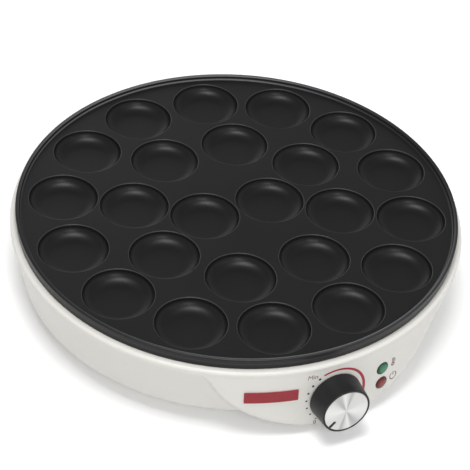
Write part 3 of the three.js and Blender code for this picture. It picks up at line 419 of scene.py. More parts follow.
class Nodes:
    """The nodes of a material or a world, filled from Python."""

    def __init__(self, owner):
        owner.use_nodes = True
        self.tree = owner.node_tree
        self.tree.nodes.clear()

    def node(self, kind, settings=None, sockets=None):
        """Adds a node, makes its settings, then fills or links its sockets."""
        node = self.tree.nodes.new(kind)
        for name, value in (settings or {}).items():
            if name == "stops":
                self._set_stops(node.color_ramp, value)
            else:
                setattr(node, name, value)
        for name, value in (sockets or {}).items():
            self.fill(node.inputs[name], value)
        return node

    def fill(self, socket, value):
        """Links a socket to a number or an output, or sets its value."""
        source = value.socket if isinstance(value, Number) else value
        if isinstance(source, bpy.types.NodeSocket):
            self.tree.links.new(source, socket)
        elif socket.type == "RGBA":
            socket.default_value = (*source, 1)
        else:
            socket.default_value = source

    @staticmethod
    def _set_stops(ramp, stops):
        for place, _ in stops[2:]:
            ramp.elements.new(place)
        for element, (place, level) in zip(ramp.elements, sorted(stops)):
            element.position = place
            element.color = (level, level, level, 1)

    def axes(self, vector):
        """The three numbers of a vector."""
        node = self.node("ShaderNodeSeparateXYZ", {}, {"Vector": vector})
        return [Number(self, output) for output in node.outputs]

    def shown(self):
        """1 where the camera, a mirror or glass sees the surface, and 0 where it lights the object."""
        rays = self.node("ShaderNodeLightPath").outputs
        kinds = ("Is Camera Ray", "Is Glossy Ray", "Is Transmission Ray")
        camera, glossy, transmission = (Number(self, rays[kind]) for kind in kinds)
        return (camera + glossy + transmission).clamped()


class Shader(Nodes):
    """A node material with one Principled surface."""

    def __init__(self, name, **constants):
        self.material = bpy.data.materials.new(name)
        super().__init__(self.material)
        self.surface = self.node("ShaderNodeBsdfPrincipled", {}, constants)
        self.node("ShaderNodeOutputMaterial", {}, {"Surface": self.surface.outputs["BSDF"]})

    def place(self, origin=(0, 0, 0), turn=(0, 0, 0)):
        """Object coordinates, seen from an origin and turned with it."""
        source = self.node("ShaderNodeTexCoord").outputs["Object"]
        sockets = {"Vector": source, "Location": origin, "Rotation": turn}
        return self.node("ShaderNodeMapping", {"vector_type": "TEXTURE"}, sockets).outputs[0]

    def vector(self, **axes):
        """A vector made from numbers."""
        return self.node("ShaderNodeCombineXYZ", {}, axes).outputs[0]

    def noise(self, grain, vector=None, detail=3.0):
        """Noise from 0 to 1 with a grain in metres."""
        sockets = {"Scale": 1 / grain, "Detail": detail, "Roughness": 0.55, "Vector": vector or self.place()}
        return Number(self, self.node("ShaderNodeTexNoise", {}, sockets).outputs["Fac"])

    def specks(self, grain, inner, outer):
        """Scattered specks: 1 within an inner share of the grain, fading to 0 at an outer one."""
        sockets = {"Scale": 1 / grain, "Vector": self.place()}
        distance = self.node("ShaderNodeTexVoronoi", {}, sockets).outputs["Distance"]
        return self.ramp(distance, [(inner, 1.0), (outer, 0.0)])

    def ramp(self, value, stops):
        """Levels between stops of (place, level)."""
        node = self.node("ShaderNodeValToRGB", {"stops": stops}, {"Fac": value})
        return Number(self, node.outputs["Color"])

    def blend(self, factor, low, high):
        """A colour between two others."""
        sockets = {"Factor": factor, 6: low, 7: high}
        return self.node("ShaderNodeMix", {"data_type": "RGBA"}, sockets).outputs[2]

    def paint(self, colour_output, roughness):
        """Gives the surface a colour and a roughness that vary over it."""
        self.fill(self.surface.inputs["Base Color"], colour_output)
        self.fill(self.surface.inputs["Roughness"], roughness)

    def paint_tints(self, shade, base, low, high, roughness):
        """Paints the surface between two tints of one colour."""
        self.paint(self.blend(shade, tint(base, low), tint(base, high)), roughness)

    def relief(self, height, depth):
        """Bumps of a depth in metres, from a height between 0 and 1."""
        node = self.node("ShaderNodeBump", {}, {"Height": height, "Distance": depth, "Strength": 1.0})
        self.fill(self.surface.inputs["Normal"], node.outputs["Normal"])


def tint(base, factor):
    """A colour made lighter or darker."""
    return tuple(min(1.0, channel * factor) for channel in base[:3])


# Materials: the sizes of their grain and relief are in metres


def moulded_plastic(name, base, rough, texture=0.0009, depth=0.000006, gloss=1.5):
    """Injection-moulded plastic: faint flow marks and a fine orange-peel texture."""
    shader = Shader(name, IOR=gloss)
    flow = shader.noise(grain=0.07, detail=2)
    mottle = shader.noise(grain=0.004)
    patches = shader.noise(grain=0.011, detail=4)
    shader.paint_tints(flow * 0.6 + mottle * 0.4, base, 0.965, 1.03, rough - 0.05 + patches * 0.10)
    shader.relief(shader.noise(texture, detail=2), depth)
    return shader.material


def non_stick_coating(plate):
    """Sprayed non-stick coating: fine speckle and grit, with painted highlights along the lip and the wells'
    rims.
    """
    shader = Shader("non_stick_coating", IOR=1.32)
    speckle = shader.specks(grain=0.0011, inner=0.10, outer=0.30)
    cloud = shader.noise(grain=0.045)
    grit = shader.noise(grain=0.0007, detail=2)
    shade = cloud * 0.5 + grit * 0.35 + speckle * 0.15
    coating = shader.blend(shade, tint(plate.coating, 0.80), tint(plate.coating, 1.28))
    across, along, up = shader.axes(shader.place(MIDDLE))
    reach = across.hypotenuse(along)
    # Painted highlight lines at the lip's inner top edge and at its foot, stronger towards the front and the
    # back
    lip_start = plate.radius - plate.lip_width - plate.lip_slope - plate.lip_fillet
    from_lip = (reach - lip_start) / (plate.radius - lip_start)
    lip_places = shader.ramp(
        from_lip,
        [(0.0, 0.0), (0.11, 1.0), (0.59, 1.0), (0.74, 0.3), (0.90, 0.3), (0.955, 0.0)],
    )
    lip_edges = shader.ramp(
        (PLATE_HIGH.z - up) / plate.lip_depth,
        [(0.0, 1.0), (0.14, 1.0), (0.24, 0.0), (0.62, 0.0), (0.70, 1.0), (0.86, 1.0), (0.95, 0.0)],
    )
    facing = along / reach
    lip_highlight = lip_places * lip_edges * (facing * facing * 1.1 + 0.05)
    # Painted highlight round the rims of the wells
    rim_drop = (PLATE_HIGH.z - plate.lip_depth - up) / plate.well_rounding
    rim_highlight = shader.ramp(rim_drop, [(0.02, 0.0), (0.15, 1.0), (0.60, 1.0), (0.95, 0.0)])
    # The painted highlights, made uneven by the cloud noise, lighten the coating towards the highlight
    # colour
    highlight_mask = (lip_highlight + rim_highlight * 0.30) * (0.7 + cloud * 0.5)
    shader.paint(shader.blend(highlight_mask, coating, plate.worn), 0.30 + cloud * 0.06 + grit * 0.08)
    shader.relief(grit * 0.7 + speckle * 0.3, depth=0.000014)
    return shader.material


def spun_aluminium(knob, origin, turn):
    """Disc turned on a lathe: fine rings, and a painted reflection of light and dark sectors that cross its
    middle.
    """
    shader = Shader("spun_aluminium", Metallic=1.0)
    across, up, _ = shader.axes(shader.place(origin, turn))
    radius = across.hypotenuse(up)
    outwards = shader.vector(X=radius)
    rings = shader.noise(grain=0.00012, vector=outwards, detail=2)
    broad_rings = shader.noise(grain=0.0011, vector=outwards, detail=1)
    bearing = up.angle_from(across)
    # Painted reflection: light and dark wedges like those a spun disc reflects, fixed to the disc and faded
    # near its middle
    painted_reflection = 0
    for middle, sharpness, gain in DISC_REFLECTION_SECTORS:
        facing = (bearing - math.radians(middle)).cosine()
        painted_reflection += (facing * facing) ** sharpness * gain
    fade = shader.ramp(radius / knob.disc_radius, [(0.0, 0.4), (0.25, 1.0), (1.0, 0.75)])
    level = (painted_reflection * fade + rings * 0.10 + 0.68).clamped()
    shader.paint_tints(level, knob.aluminium, 0.46, 1.12, 0.27 + rings * 0.10 + broad_rings * 0.05)
    shader.relief(rings * 0.8 + broad_rings * 0.2, depth=0.000004)
    return shader.material


def enamel(name, base):
    """Glossy enamel with a faint unevenness."""
    shader = Shader(name, IOR=1.42)
    patches = shader.noise(grain=0.003)
    shader.paint_tints(shader.noise(grain=0.009), base, 0.90, 1.08, 0.26 + patches * 0.10)
    shader.relief(shader.noise(grain=0.0016, detail=2), depth=0.000008)
    return shader.material


def lens_plastic(name, base, origin, turn, radius):
    """Coloured translucent lens: painted shade darkens it towards its edge, with facets moulded inside."""
    shader = Shader(name, IOR=1.42)
    across, up, _ = shader.axes(shader.place(origin, turn))
    facets = ((across * FACET_RATE).sine() * (up * FACET_RATE).sine()) * 0.5 + 0.5
    out = across.hypotenuse(up) / radius
    # Darker towards the edge: painted shade at the lens's rim
    depth = shader.ramp(out, [(0.0, 0.05), (0.72, 0.15), (0.90, 0.45), (1.0, 0.85)])
    shade = (depth * 0.85 + facets * 0.15).clamped()
    shader.paint_tints(shade, base, 1.2, 0.30, 0.12 + facets * 0.06)
    shader.relief(facets, depth=0.00001)
    return shader.material


def printed_ink(name, base):
    """Pad-printed ink: matt, with a slight raggedness of tone."""
    shader = Shader(name)
    grain = shader.noise(grain=0.0006)
    shader.paint_tints(grain, base, 0.82, 1.15, 0.50 + grain * 0.12)
    return shader.material


def moulded_rubber(name, base):
    """Matt rubber with dusty high spots."""
    shader = Shader(name)
    dust = shader.noise(grain=0.006, detail=5)
    shader.paint_tints(dust, base, 0.8, 1.5, 0.72 + dust * 0.16)
    shader.relief(shader.noise(grain=0.0006), depth=0.00001)
    return shader.material


def sheet_metal(name, base, rough, stretch):
    """Rolled or plated metal: streaks along one direction and faint handling marks."""
    shader = Shader(name, Metallic=1.0)
    across, along, up = shader.axes(shader.place())
    streaks = shader.noise(grain=0.0008, vector=shader.vector(X=across, Y=along / stretch, Z=up), detail=4)
    marks = shader.noise(grain=0.012, detail=4)
    roughness = rough + streaks * 0.12 + marks * 0.08
    shader.paint_tints(streaks * 0.5 + marks * 0.5, base, 0.80, 1.10, roughness)
    shader.relief(streaks, depth=0.000006)
    return shader.material


def fired_ceramic(name, base):
    """Unglazed ceramic: chalky, with tiny dark specks."""
    shader = Shader(name)
    specks = shader.specks(grain=0.0009, inner=0.05, outer=0.16)
    cloud = shader.noise(grain=0.003)
    shader.paint_tints(specks * 0.6 + cloud * 0.3, base, 1.05, 0.62, 0.66 + cloud * 0.14)
    shader.relief(cloud * 0.6 + specks * 0.4, depth=0.00001)
    return shader.material


def lamp_glass(name, base):
    """Small neon lamp's glass: warm and clear, with a frosted tint inside."""
    shader = Shader(name, IOR=1.47)
    cloud = shader.noise(grain=0.002)
    shader.paint_tints(cloud, base, 0.9, 1.1, 0.08 + cloud * 0.10)
    return shader.material


def inner_materials():
    """Materials of the pieces inside the housing, by their slot's name."""
    slots = {entry["slot"]: entry["base_color"][:3] for entry in frame["record"]["materials"]}
    return {
        "steel": sheet_metal("rolled_steel", slots["steel"], rough=0.30, stretch=14),
        "bright_steel": sheet_metal("zinc_plating", slots["bright_steel"], rough=0.20, stretch=3),
        "brass": sheet_metal("bright_brass", slots["brass"], rough=0.24, stretch=6),
        "ceramic": fired_ceramic("steatite", slots["ceramic"]),
        "nylon": moulded_plastic("natural_nylon", slots["nylon"], rough=0.46),
        "lamp_glass": lamp_glass("neon_glass", slots["lamp_glass"]),
        "brown_sheath": moulded_rubber("brown_silicone", slots["brown_sheath"]),
        "blue_sheath": moulded_rubber("blue_silicone", slots["blue_sheath"]),
        "green_sheath": moulded_rubber("green_silicone", slots["green_sheath"]),
    }


# Mesh tools


def as_object(shape, name="passing"):
    """An object in the scene, made from a shape, which is freed."""
    mesh = bpy.data.meshes.new(name)
    shape.to_mesh(mesh)
    shape.free()
    thing = bpy.data.objects.new(name, mesh)
    bpy.context.scene.collection.objects.link(thing)
    return thing


def discard(thing):
    """Removes an object and its mesh."""
    mesh = thing.data
    bpy.data.objects.remove(thing)
    bpy.data.meshes.remove(mesh)


def moved(shape, matrix):
    """A shape, moved by a matrix."""
    bmesh.ops.transform(shape, matrix=matrix, verts=shape.verts[:])
    return shape


def welded(shape):
    """A shape whose points are merged where they coincide."""
    bmesh.ops.remove_doubles(shape, verts=shape.verts[:], dist=WELD_DISTANCE)
    return shape


def outward(shape):
    """A shape whose faces point outwards."""
    bmesh.ops.recalc_face_normals(shape, faces=shape.faces[:])
    return shape


def spun(profile, steps, matrix=Matrix()):
    """A closed solid of revolution about its own Z, from points of radius and height."""
    shape = bmesh.new()
    points = [shape.verts.new((radius, 0, height)) for radius, height in profile]
    if profile[0][0] > 0:
        points.append(points[0])
    edges = [shape.edges.new(pair) for pair in zip(points, points[1:])]
    outline = shape.verts[:] + edges
    bmesh.ops.spin(
        shape, geom=outline, cent=(0, 0, 0), axis=(0, 0, 1), angle=TURN, steps=steps, use_merge=True
    )
    return moved(outward(welded(shape)), matrix)


def rod(radius, bottom, top, steps, matrix=Matrix()):
    """A round bar along its own Z."""
    return spun([(0, bottom), (radius, bottom), (radius, top), (0, top)], steps, matrix)


def bar(low, high, matrix=Matrix()):
    """A block between two corners."""
    shape = bmesh.new()
    low, high = Vector(low), Vector(high)
    size = Matrix.Diagonal((*(high - low), 1))
    bmesh.ops.create_cube(shape, size=1, matrix=Matrix.Translation((low + high) / 2) @ size)
    return moved(shape, matrix)


def bevelled(shape, edges, width, segments=3):
    """Rounds some edges."""
    bmesh.ops.bevel(
        shape, geom=edges, offset=width, segments=segments, profile=0.5, affect="EDGES", material=-1
    )
    return shape


def rounded(shape, width, radius, height, segments=3, slack=EDGE_SLACK):
    """Rounds the level edges that lie at a radius and a height."""
    edges = []
    for edge in shape.edges:
        start, end = (point.co for point in edge.verts)
        middle = (start + end) / 2
        off = max(abs(middle.xy.length - radius), abs(middle.z - height))
        if off < slack and abs(start.z - end.z) < SAME_LENGTH:
            edges.append(edge)
    return bevelled(shape, edges, width, segments)


def copies(shape, matrices):
    """A shape repeated at each matrix."""
    source = as_object(shape)
    whole = bmesh.new()
    for matrix in matrices:
        start = len(whole.verts)
        whole.from_mesh(source.data)
        whole.verts.ensure_lookup_table()
        bmesh.ops.transform(whole, matrix=matrix, verts=whole.verts[start:])
    discard(source)
    return whole


def merged(shapes):
    """Several shapes in one."""
    whole = bmesh.new()
    for part in [as_object(shape) for shape in shapes]:
        whole.from_mesh(part.data)
        discard(part)
    return whole


def carved(target, tool, operation):
    """Joins two closed shapes or cuts one with the other."""
    objects = [as_object(shape) for shape in (target, tool)]
    modifier = objects[0].modifiers.new("carve", "BOOLEAN")
    modifier.operation = operation
    modifier.solver = "MANIFOLD"
    modifier.object = objects[1]
    bpy.context.view_layer.update()
    result = bmesh.new()
    result.from_object(objects[0], bpy.context.evaluated_depsgraph_get())
    if not result.faces:
        raise RuntimeError("a shape came out empty, so two shapes didn't join or cut")
    for thing in objects:
        discard(thing)
    return result


def joined(target, tool):
    return carved(target, tool, "UNION")


def cut(target, tool):
    return carved(target, tool, "DIFFERENCE")


def extruded(shape):
    """Extrudes a shape's faces, and gives the points of the new side to move."""
    skin = bmesh.ops.extrude_face_region(shape, geom=shape.faces[:])
    return [item for item in skin["geom"] if isinstance(item, bmesh.types.BMVert)]


def thickened(shape, thickness):
    """A flat shape that looks up, with a thickness."""
    for point in extruded(shape):
        point.co.z += thickness
    return outward(shape)


def finished(shape, name, material, slot, place=Matrix(), replaces=None, body="body", sharp=32):
    """Makes a shape a piece of the model, with smooth shading up to an angle."""
    piece = as_object(moved(shape, Matrix.Translation(MIDDLE) @ place), name)
    piece.data.shade_smooth()
    piece.data.set_sharp_from_angle(angle=math.radians(sharp))
    piece.data.materials.append(material)
    piece.modifiers.new("level_faces", "WEIGHTED_NORMAL").keep_sharp = True
    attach(piece, body)
    if replaces:
        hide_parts(replaces)


def on_circle(radius, turn, height=0.0):
    """A place on a circle about the plate's axis, turned from the front towards +X."""
    return Vector((radius * math.sin(turn), -radius * math.cos(turn), height))


def turns(number, offset=0.5):
    """Turns of a number of places, spread evenly."""
    return [(k + offset) * TURN / number for k in range(number)]


def spots(radius, bearings):
    """Matrices to places on a circle about the plate's axis."""
    return [Matrix.Translation(on_circle(radius, turn)) for turn in bearings]


# The front panel: a cone that flares out of the ring towards the table


def ring_bottom(housing):
    return housing.top - housing.ring_height


def panel_radius(housing, height):
    return housing.radius + math.tan(housing.lean) * (ring_bottom(housing) - height)


def panel_frame(housing, turn, height):
    """A frame on the panel, about the plate's axis: X to the right, Y up the panel, Z out of it."""
    place = Matrix.Translation(on_circle(panel_radius(housing, height), turn, height))
    return place @ Matrix.Rotation(turn, 4, "Z") @ Matrix.Rotation(math.pi / 2 - housing.lean, 4, "X")


def laid_on_panel(shape, housing, matrix, proud):
    """Bends a flat shape, drawn in a panel frame, onto the panel's cone; its Z stays above the cone."""
    for point in shape.verts:
        flat = matrix @ Vector((*point.co.xy, 0))
        reach = panel_radius(housing, flat.z) + proud + point.co.z
        point.co = Vector((*(flat.xy.normalized() * reach), flat.z))
    return shape


def panel_edge(housing, inset, top):
    """Half of the panel's outline, from the lowest point up its side: half width and height."""
    swing = math.asin(housing.chin_half / housing.chin_arc)
    centre = housing.chin_bottom + housing.chin_arc
    ring = ring_bottom(housing)
    slope = housing.side_slope
    arc_end = centre - housing.chin_arc * math.cos(swing)
    side_half = housing.chin_half + housing.side_reach - inset

    def on_arc(turn):
        radius = housing.chin_arc - inset
        return Vector((radius * math.sin(turn), centre - radius * math.cos(turn)))

    def lead(turn):
        return Vector((math.cos(turn), math.sin(turn))) * housing.side_lead

    corner = on_arc(swing)
    side = Vector((side_half, arc_end + (ring - arc_end) * housing.side_rise))
    flare = Vector((side_half + housing.flare_reach, ring))
    bend = Vector((side.x + (ring - side.y) / math.tan(slope), ring))
    lower = interpolate_bezier(corner, corner + lead(swing), side - lead(slope), side, SIDE_POINTS)
    handles = side.lerp(bend, BEND_SHARE), flare.lerp(bend, BEND_SHARE)
    upper = interpolate_bezier(side, *handles, flare, SIDE_POINTS)
    arc = [on_arc(swing * k / CHIN_STEPS) for k in range(CHIN_STEPS)]
    return [*arc, *lower[:-1], *upper, Vector((flare.x, top))]


def panel_block(housing, inset, rounding, top):
    """The flared panel as a block: a grid bent to the cone, rounded along its outline, and a flat back."""
    round_steps = PANEL_ROUND_STEPS if rounding else 0
    swings = [math.pi / 2 * (1 - k / PANEL_ROUND_STEPS) for k in range(round_steps, -1, -1)]
    columns = PANEL_COLUMNS + 2 * round_steps
    half_columns = PANEL_COLUMNS // 2
    edges = [panel_edge(housing, inset + rounding * (1 - math.sin(swing)), top) for swing in swings]
    rows = len(edges[0]) - 1
    shape = bmesh.new()
    bmesh.ops.create_grid(shape, x_segments=columns, y_segments=rows, size=1)
    for point in shape.verts:
        column = round((point.co.x + 1) / 2 * columns) - columns // 2
        row = round((point.co.y + 1) / 2 * rows)
        beyond = max(abs(column) - half_columns, 0)
        half, height = edges[beyond][row]
        across = half * max(-1, min(1, column / half_columns))
        if across > 0:
            across *= 1 + housing.right_stretch
        set_back = inset + rounding * (1 - math.cos(swings[beyond]))
        reach = max(panel_radius(housing, height), housing.radius) - set_back
        point.co = Vector((across, -math.sqrt(reach**2 - across**2), height))
    for point in extruded(welded(shape)):
        point.co.y = -PANEL_BACK
    return outward(shape)


# Pieces


class PANCAKE_OT_cooking_plate(bpy.types.Operator):
    """Builds the non-stick plate with its lip, wells and what is cast under it"""

    bl_idname = "pancake.cooking_plate"
    bl_label = "Cooking plate"

    def execute(self, context):
        plate = context.scene.pancake_plate
        top = PLATE_HIGH.z
        surface = top - plate.lip_depth
        under = surface - plate.web_wall
        root = under + plate.well_rounding
        body = self.disc(plate, top, surface, under)
        circles = (
            (plate.outer_circle, plate.outer_wells),
            (plate.middle_circle, plate.middle_wells),
            (plate.inner_circle, plate.inner_wells),
        )
        places = [place for circle, wells in circles for place in spots(circle, turns(wells))]
        bump_radius = plate.well_radius + plate.bump_wall
        bump_bottom = surface - plate.well_depth - plate.bump_floor
        bump_foot = (plate.well_floor + plate.bump_floor, bump_bottom)
        for place in places:
            bump = [(0, bump_bottom), bump_foot, (bump_radius, under), (bump_radius, root), (0, root)]
            body = joined(body, spun(bump, PIN_STEPS, place))
        middle = (plate.outer_circle + plate.middle_circle) / 2
        low, high = middle - plate.ridge_half, middle + plate.ridge_half
        level = plate.channel_height
        ridge = spun([(low, level), (high, level), (high, root), (low, root)], ROUND_STEPS)
        groove = [
            (middle + plate.channel_radius * math.cos(turn), level + plate.channel_radius * math.sin(turn))
            for turn in turns(TIP_STEPS, offset=0)
        ]
        body = cut(joined(body, ridge), spun(groove, ROUND_STEPS))
        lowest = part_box("reflector_pan")[0].z + plate.post_gap
        post = rod(plate.post_radius, lowest, root, PIN_STEPS)
        boss = rod(plate.post_radius, PLATE_LOW.z, root, PIN_STEPS)
        body = joined(body, copies(post, spots(plate.outer_circle, tie_turns(plate))))
        body = joined(body, copies(boss, spots(plate.outer_circle, [0])))
        body = cut(body, copies(self.well(plate, surface), places))
        finished(body, "plate_casting", non_stick_coating(plate), "non_stick", replaces="cooking_plate")
        return {"FINISHED"}

    @staticmethod
    def disc(plate, top, surface, under):
        """The disc with its skirt and its lip."""
        skirt = plate.radius - plate.skirt_taper
        skirt_inner = skirt - plate.skirt_wall
        skirt_bottom = top - plate.skirt_height
        lip_inner = plate.radius - plate.lip_width
        lip_foot = lip_inner - plate.lip_slope
        skirt_points = [(skirt_inner, under), (skirt_inner, skirt_bottom), (skirt, skirt_bottom)]
        lip_points = [(plate.radius, top), (lip_inner, top), (lip_foot, surface)]
        disc = spun([(0, under), *skirt_points, *lip_points, (0, surface)], LARGE_STEPS)
        rounded(disc, plate.lip_round, plate.radius, top, segments=5)
        rounded(disc, plate.lip_edge, lip_inner, top, segments=4)
        rounded(disc, plate.lip_fillet, lip_foot, surface, segments=5)
        return rounded(disc, plate.skirt_round, skirt, skirt_bottom)

    @staticmethod
    def well(plate, surface):
        """The shape that a well leaves: a flat floor, a curved wall and a rounded rim."""
        rim = surface - plate.well_rounding
        wall = plate.well_radius - plate.well_floor
        depth = plate.well_depth - plate.well_rounding
        profile = [(0, surface - plate.well_depth)]
        for k in range(WELL_WALL_STEPS + 1):
            swing = math.pi / 2 * k / WELL_WALL_STEPS
            profile.append((plate.well_floor + wall * math.sin(swing), rim - depth * math.cos(swing)))
        for k in range(1, WELL_RIM_STEPS + 1):
            swing = math.pi / 2 * k / WELL_RIM_STEPS
            out = plate.well_rounding * (1 - math.cos(swing))
            profile.append((plate.well_radius + out, rim + plate.well_rounding * math.sin(swing)))
        outer = plate.well_radius + plate.well_rounding
        profile += [(outer, surface + OVERRUN), (0, surface + OVERRUN)]
        return spun(profile, WELL_STEPS)


def tie_turns(plate):
    """Where the tie screws stand: two outer wells from the front and from the back."""
    step = 2 * TURN / plate.outer_wells
    return [-step, step, math.pi - step, math.pi + step]


class PANCAKE_OT_housing(bpy.types.Operator):
    """Builds the ring, the tapered wall and the front panel in one moulding"""

    bl_idname = "pancake.housing"
    bl_label = "Housing"

    def execute(self, context):
        housing = context.scene.pancake_housing
        knob = context.scene.pancake_knob
        lamps = context.scene.pancake_lamps
        gland = context.scene.pancake_gland
        ring = ring_bottom(housing)
        foot = housing.wall_bottom
        wall_top = housing.radius - housing.ring_step
        wall_foot = wall_foot_radius(housing)
        inner_foot = wall_foot - housing.wall
        ledge = housing.top - housing.ledge
        wall = [(0, foot), (wall_foot, foot), (wall_top, ring - housing.ring_step / 2)]
        band = [(housing.radius, ring), (housing.radius, housing.top), (0, housing.top)]
        body = spun(wall + band, LARGE_STEPS)
        rounded(body, housing.shoulder, housing.radius, housing.top, segments=5)
        rounded(body, housing.foot_round, wall_foot, foot)
        low = housing.chin_bottom - 2 * OVERRUN
        panel = panel_block(housing, 0, housing.edge_round, ring + 2 * OVERRUN)
        under_base = rod(inner_foot + context.scene.pancake_base.gap, low, foot, LARGE_STEPS)
        body = joined(body, cut(panel, under_base))
        inner = [(0, foot - OVERRUN), (inner_foot, foot - OVERRUN), (inner_foot, foot)]
        body = cut(body, spun([*inner, (wall_top - housing.wall, ledge), (0, ledge)], LARGE_STEPS))
        body = cut(body, rod(housing.seat_radius, ledge - OVERRUN, housing.top + OVERRUN, LARGE_STEPS))
        pocket = panel_block(housing, housing.wall, 0, ledge)
        body = cut(body, cut(pocket, rod(wall_foot, low, foot, LARGE_STEPS)))
        reach = 3 * housing.wall
        holes = [
            (panel_frame(housing, 0, knob.height), knob.bore_radius + knob.hole_gap),
            *((place, lamps.ring_radius + lamps.hole_gap) for place in lamp_frames(housing, lamps)),
            (gland_frame(housing, gland), gland.bore + gland.wall + gland.gap),
        ]
        for place, radius in holes:
            body = cut(body, rod(radius, -reach, reach, HOLE_STEPS, place))
        plastic = moulded_plastic("off_white_plastic", housing.plastic, rough=0.36)
        finished(body, "housing_moulding", plastic, "off_white_plastic", replaces="housing", sharp=40)
        return {"FINISHED"}


def lamp_frames(housing, lamps):
    """Frames of the green lamp, above, and the red lamp, below."""
    heights = (lamps.middle + lamps.spacing / 2, lamps.middle - lamps.spacing / 2)
    return [panel_frame(housing, lamps.turn, height) for height in heights]


def wall_foot_radius(housing):
    return housing.radius - housing.ring_step - housing.wall_taper


def wall_lean(housing):
    """The wall's lean from upright, drawn in towards the table."""
    return math.atan(housing.wall_taper / (ring_bottom(housing) - housing.wall_bottom))


def gland_frame(housing, gland):
    """A frame on the wall's back: Z out of the wall."""
    lean = wall_lean(housing)
    radius = wall_foot_radius(housing) + math.tan(lean) * (gland.height - housing.wall_bottom)
    place = Matrix.Translation(on_circle(radius, math.pi, gland.height))
    return place @ Matrix.Rotation(math.pi, 4, "Z") @ Matrix.Rotation(math.pi / 2 + lean, 4, "X")


class PANCAKE_OT_knob(bpy.types.Operator):
    """Builds the knob, its pointer and its spun aluminium disc"""

    bl_idname = "pancake.knob"
    bl_label = "Knob"

    def execute(self, context):
        knob = context.scene.pancake_knob
        place = panel_frame(context.scene.pancake_housing, 0, knob.height)
        front = knob.gap + knob.depth
        seat = front - knob.disc_thickness - knob.disc_gap
        recess = knob.disc_radius + knob.disc_gap
        hub = knob.gap + knob.hub_set_back
        cavity = seat - knob.front_wall
        hub_points = [(0, hub), (knob.hub_radius, hub), (knob.hub_radius, cavity)]
        inner_points = [(knob.front_radius - knob.wall, cavity), (knob.back_radius - knob.wall, knob.gap)]
        outer_points = [(knob.back_radius, knob.gap), (knob.front_radius, front)]
        recess_points = [(recess, front), (recess, seat), (0, seat)]
        moulding = spun(hub_points + inner_points + outer_points + recess_points, ROUND_STEPS)
        rounded(moulding, knob.edge_round, knob.front_radius, front)
        rounded(moulding, knob.back_round, knob.back_radius, knob.gap)
        flat = bar((-knob.hub_radius, knob.bore_flat, 0), (knob.hub_radius, knob.hub_radius, front))
        bore = rod(knob.bore_radius, hub - OVERRUN, hub + knob.bore_depth, HOLE_STEPS)
        moulding = cut(moulding, cut(bore, flat))
        moulding = joined(moulding, self.pointer(knob, 0, seat - knob.disc_gap, front))
        plastic = moulded_plastic(
            "black_plastic", knob.plastic, rough=0.40, texture=0.0005, depth=0.000004, gloss=1.36
        )
        finished(moulding, "knob_moulding", plastic, "black_plastic", place, replaces="knob", body="knob")
        disc = rod(knob.disc_radius, front - knob.disc_thickness, front, ROUND_STEPS)
        rounded(disc, knob.disc_round, knob.disc_radius, front)
        disc = cut(disc, self.pointer(knob, knob.pointer_gap, seat - knob.disc_gap, front + OVERRUN))
        whole_place = Matrix.Translation(MIDDLE) @ place
        metal = spun_aluminium(knob, whole_place.translation, whole_place.to_euler())
        finished(disc, "knob_disc", metal, "spun_aluminium", place, replaces="knob_face", body="knob")
        return {"FINISHED"}

    @staticmethod
    def pointer(knob, margin, bottom, top):
        """The pointer: a bar with one round end that runs out past the disc's edge."""
        half = knob.pointer_width / 2 + margin
        inner = knob.disc_radius - knob.pointer_length + knob.pointer_width / 2
        outer = knob.disc_radius + knob.pointer_reach
        turned = Matrix.Rotation(knob.pointer_rest, 4, "Z")
        tip = rod(half, bottom, top, TIP_STEPS, turned @ Matrix.Translation((0, inner, 0)))
        return joined(tip, bar((-half, inner, bottom), (half, outer, top), turned))


class PANCAKE_OT_dial(bpy.types.Operator):
    """Prints the dial round the knob and the symbols beside the lamps"""

    bl_idname = "pancake.dial"
    bl_label = "Dial print"

    def execute(self, context):
        housing = context.scene.pancake_housing
        dial = context.scene.pancake_dial
        knob_place = panel_frame(housing, 0, context.scene.pancake_knob.height)
        upper, lower = lamp_frames(housing, context.scene.pancake_lamps)
        upper_side = upper @ Matrix.Translation((dial.thermometer_x, dial.symbol_rise, 0))
        lower_side = lower @ Matrix.Translation((dial.power_x, dial.symbol_rise, 0))
        zero = lettering("0", dial.zero_height, polar(dial.zero_circle, dial.zero_turn))
        least = lettering("Min", dial.letter_height, Vector((-dial.min_x, dial.min_y, 0)), dial.letter_slant)
        red = printed_ink("red_ink", dial.red_ink)
        dark = printed_ink("dark_ink", dial.dark_ink)
        brown = printed_ink("brown_ink", dial.brown_ink)
        for shape, name, ink, slot, place in (
            (arc_print(dial), "dial_arc", red, "red_plate", knob_place),
            (dot_print(dial), "dial_dots", dark, "black_plastic", knob_place),
            (zero, "dial_zero", dark, "black_plastic", knob_place),
            (least, "dial_min", brown, "black_plastic", knob_place),
            (thermometer(dial.symbol_size), "thermometer_symbol", brown, "black_plastic", upper_side),
            (power_mark(dial.symbol_size), "power_symbol", brown, "black_plastic", lower_side),
        ):
            laid_on_panel(self.inked(shape, dial), housing, place, -dial.ink_proud)
            finished(shape, name, ink, slot)
        return {"FINISHED"}

    @staticmethod
    def inked(shape, dial):
        """A flat print, cut fine enough to bend, with a thickness that is half in the panel."""
        bmesh.ops.triangulate(shape, faces=shape.faces[:])
        long_edges = [edge for edge in shape.edges if edge.calc_length() > dial.longest_edge]
        bmesh.ops.subdivide_edges(shape, edges=long_edges, cuts=1, use_grid_fill=False)
        outward(shape)
        bmesh.ops.reverse_faces(shape, faces=[face for face in shape.faces if face.normal.z < 0])
        return thickened(shape, 2 * dial.ink_proud)


def polar(radius, turn):
    """A place about the knob's axis, turned anticlockwise from the top."""
    return Vector((-radius * math.sin(turn), radius * math.cos(turn), 0))


def strip(steps, placed):
    """A flat strip, bent by a function of a point's way along it and across it, from 0 to 1."""
    shape = bmesh.new()
    bmesh.ops.create_grid(shape, x_segments=steps, y_segments=1, size=1)
    for point in shape.verts:
        point.co = placed((point.co.x + 1) / 2, (point.co.y + 1) / 2)
    return shape


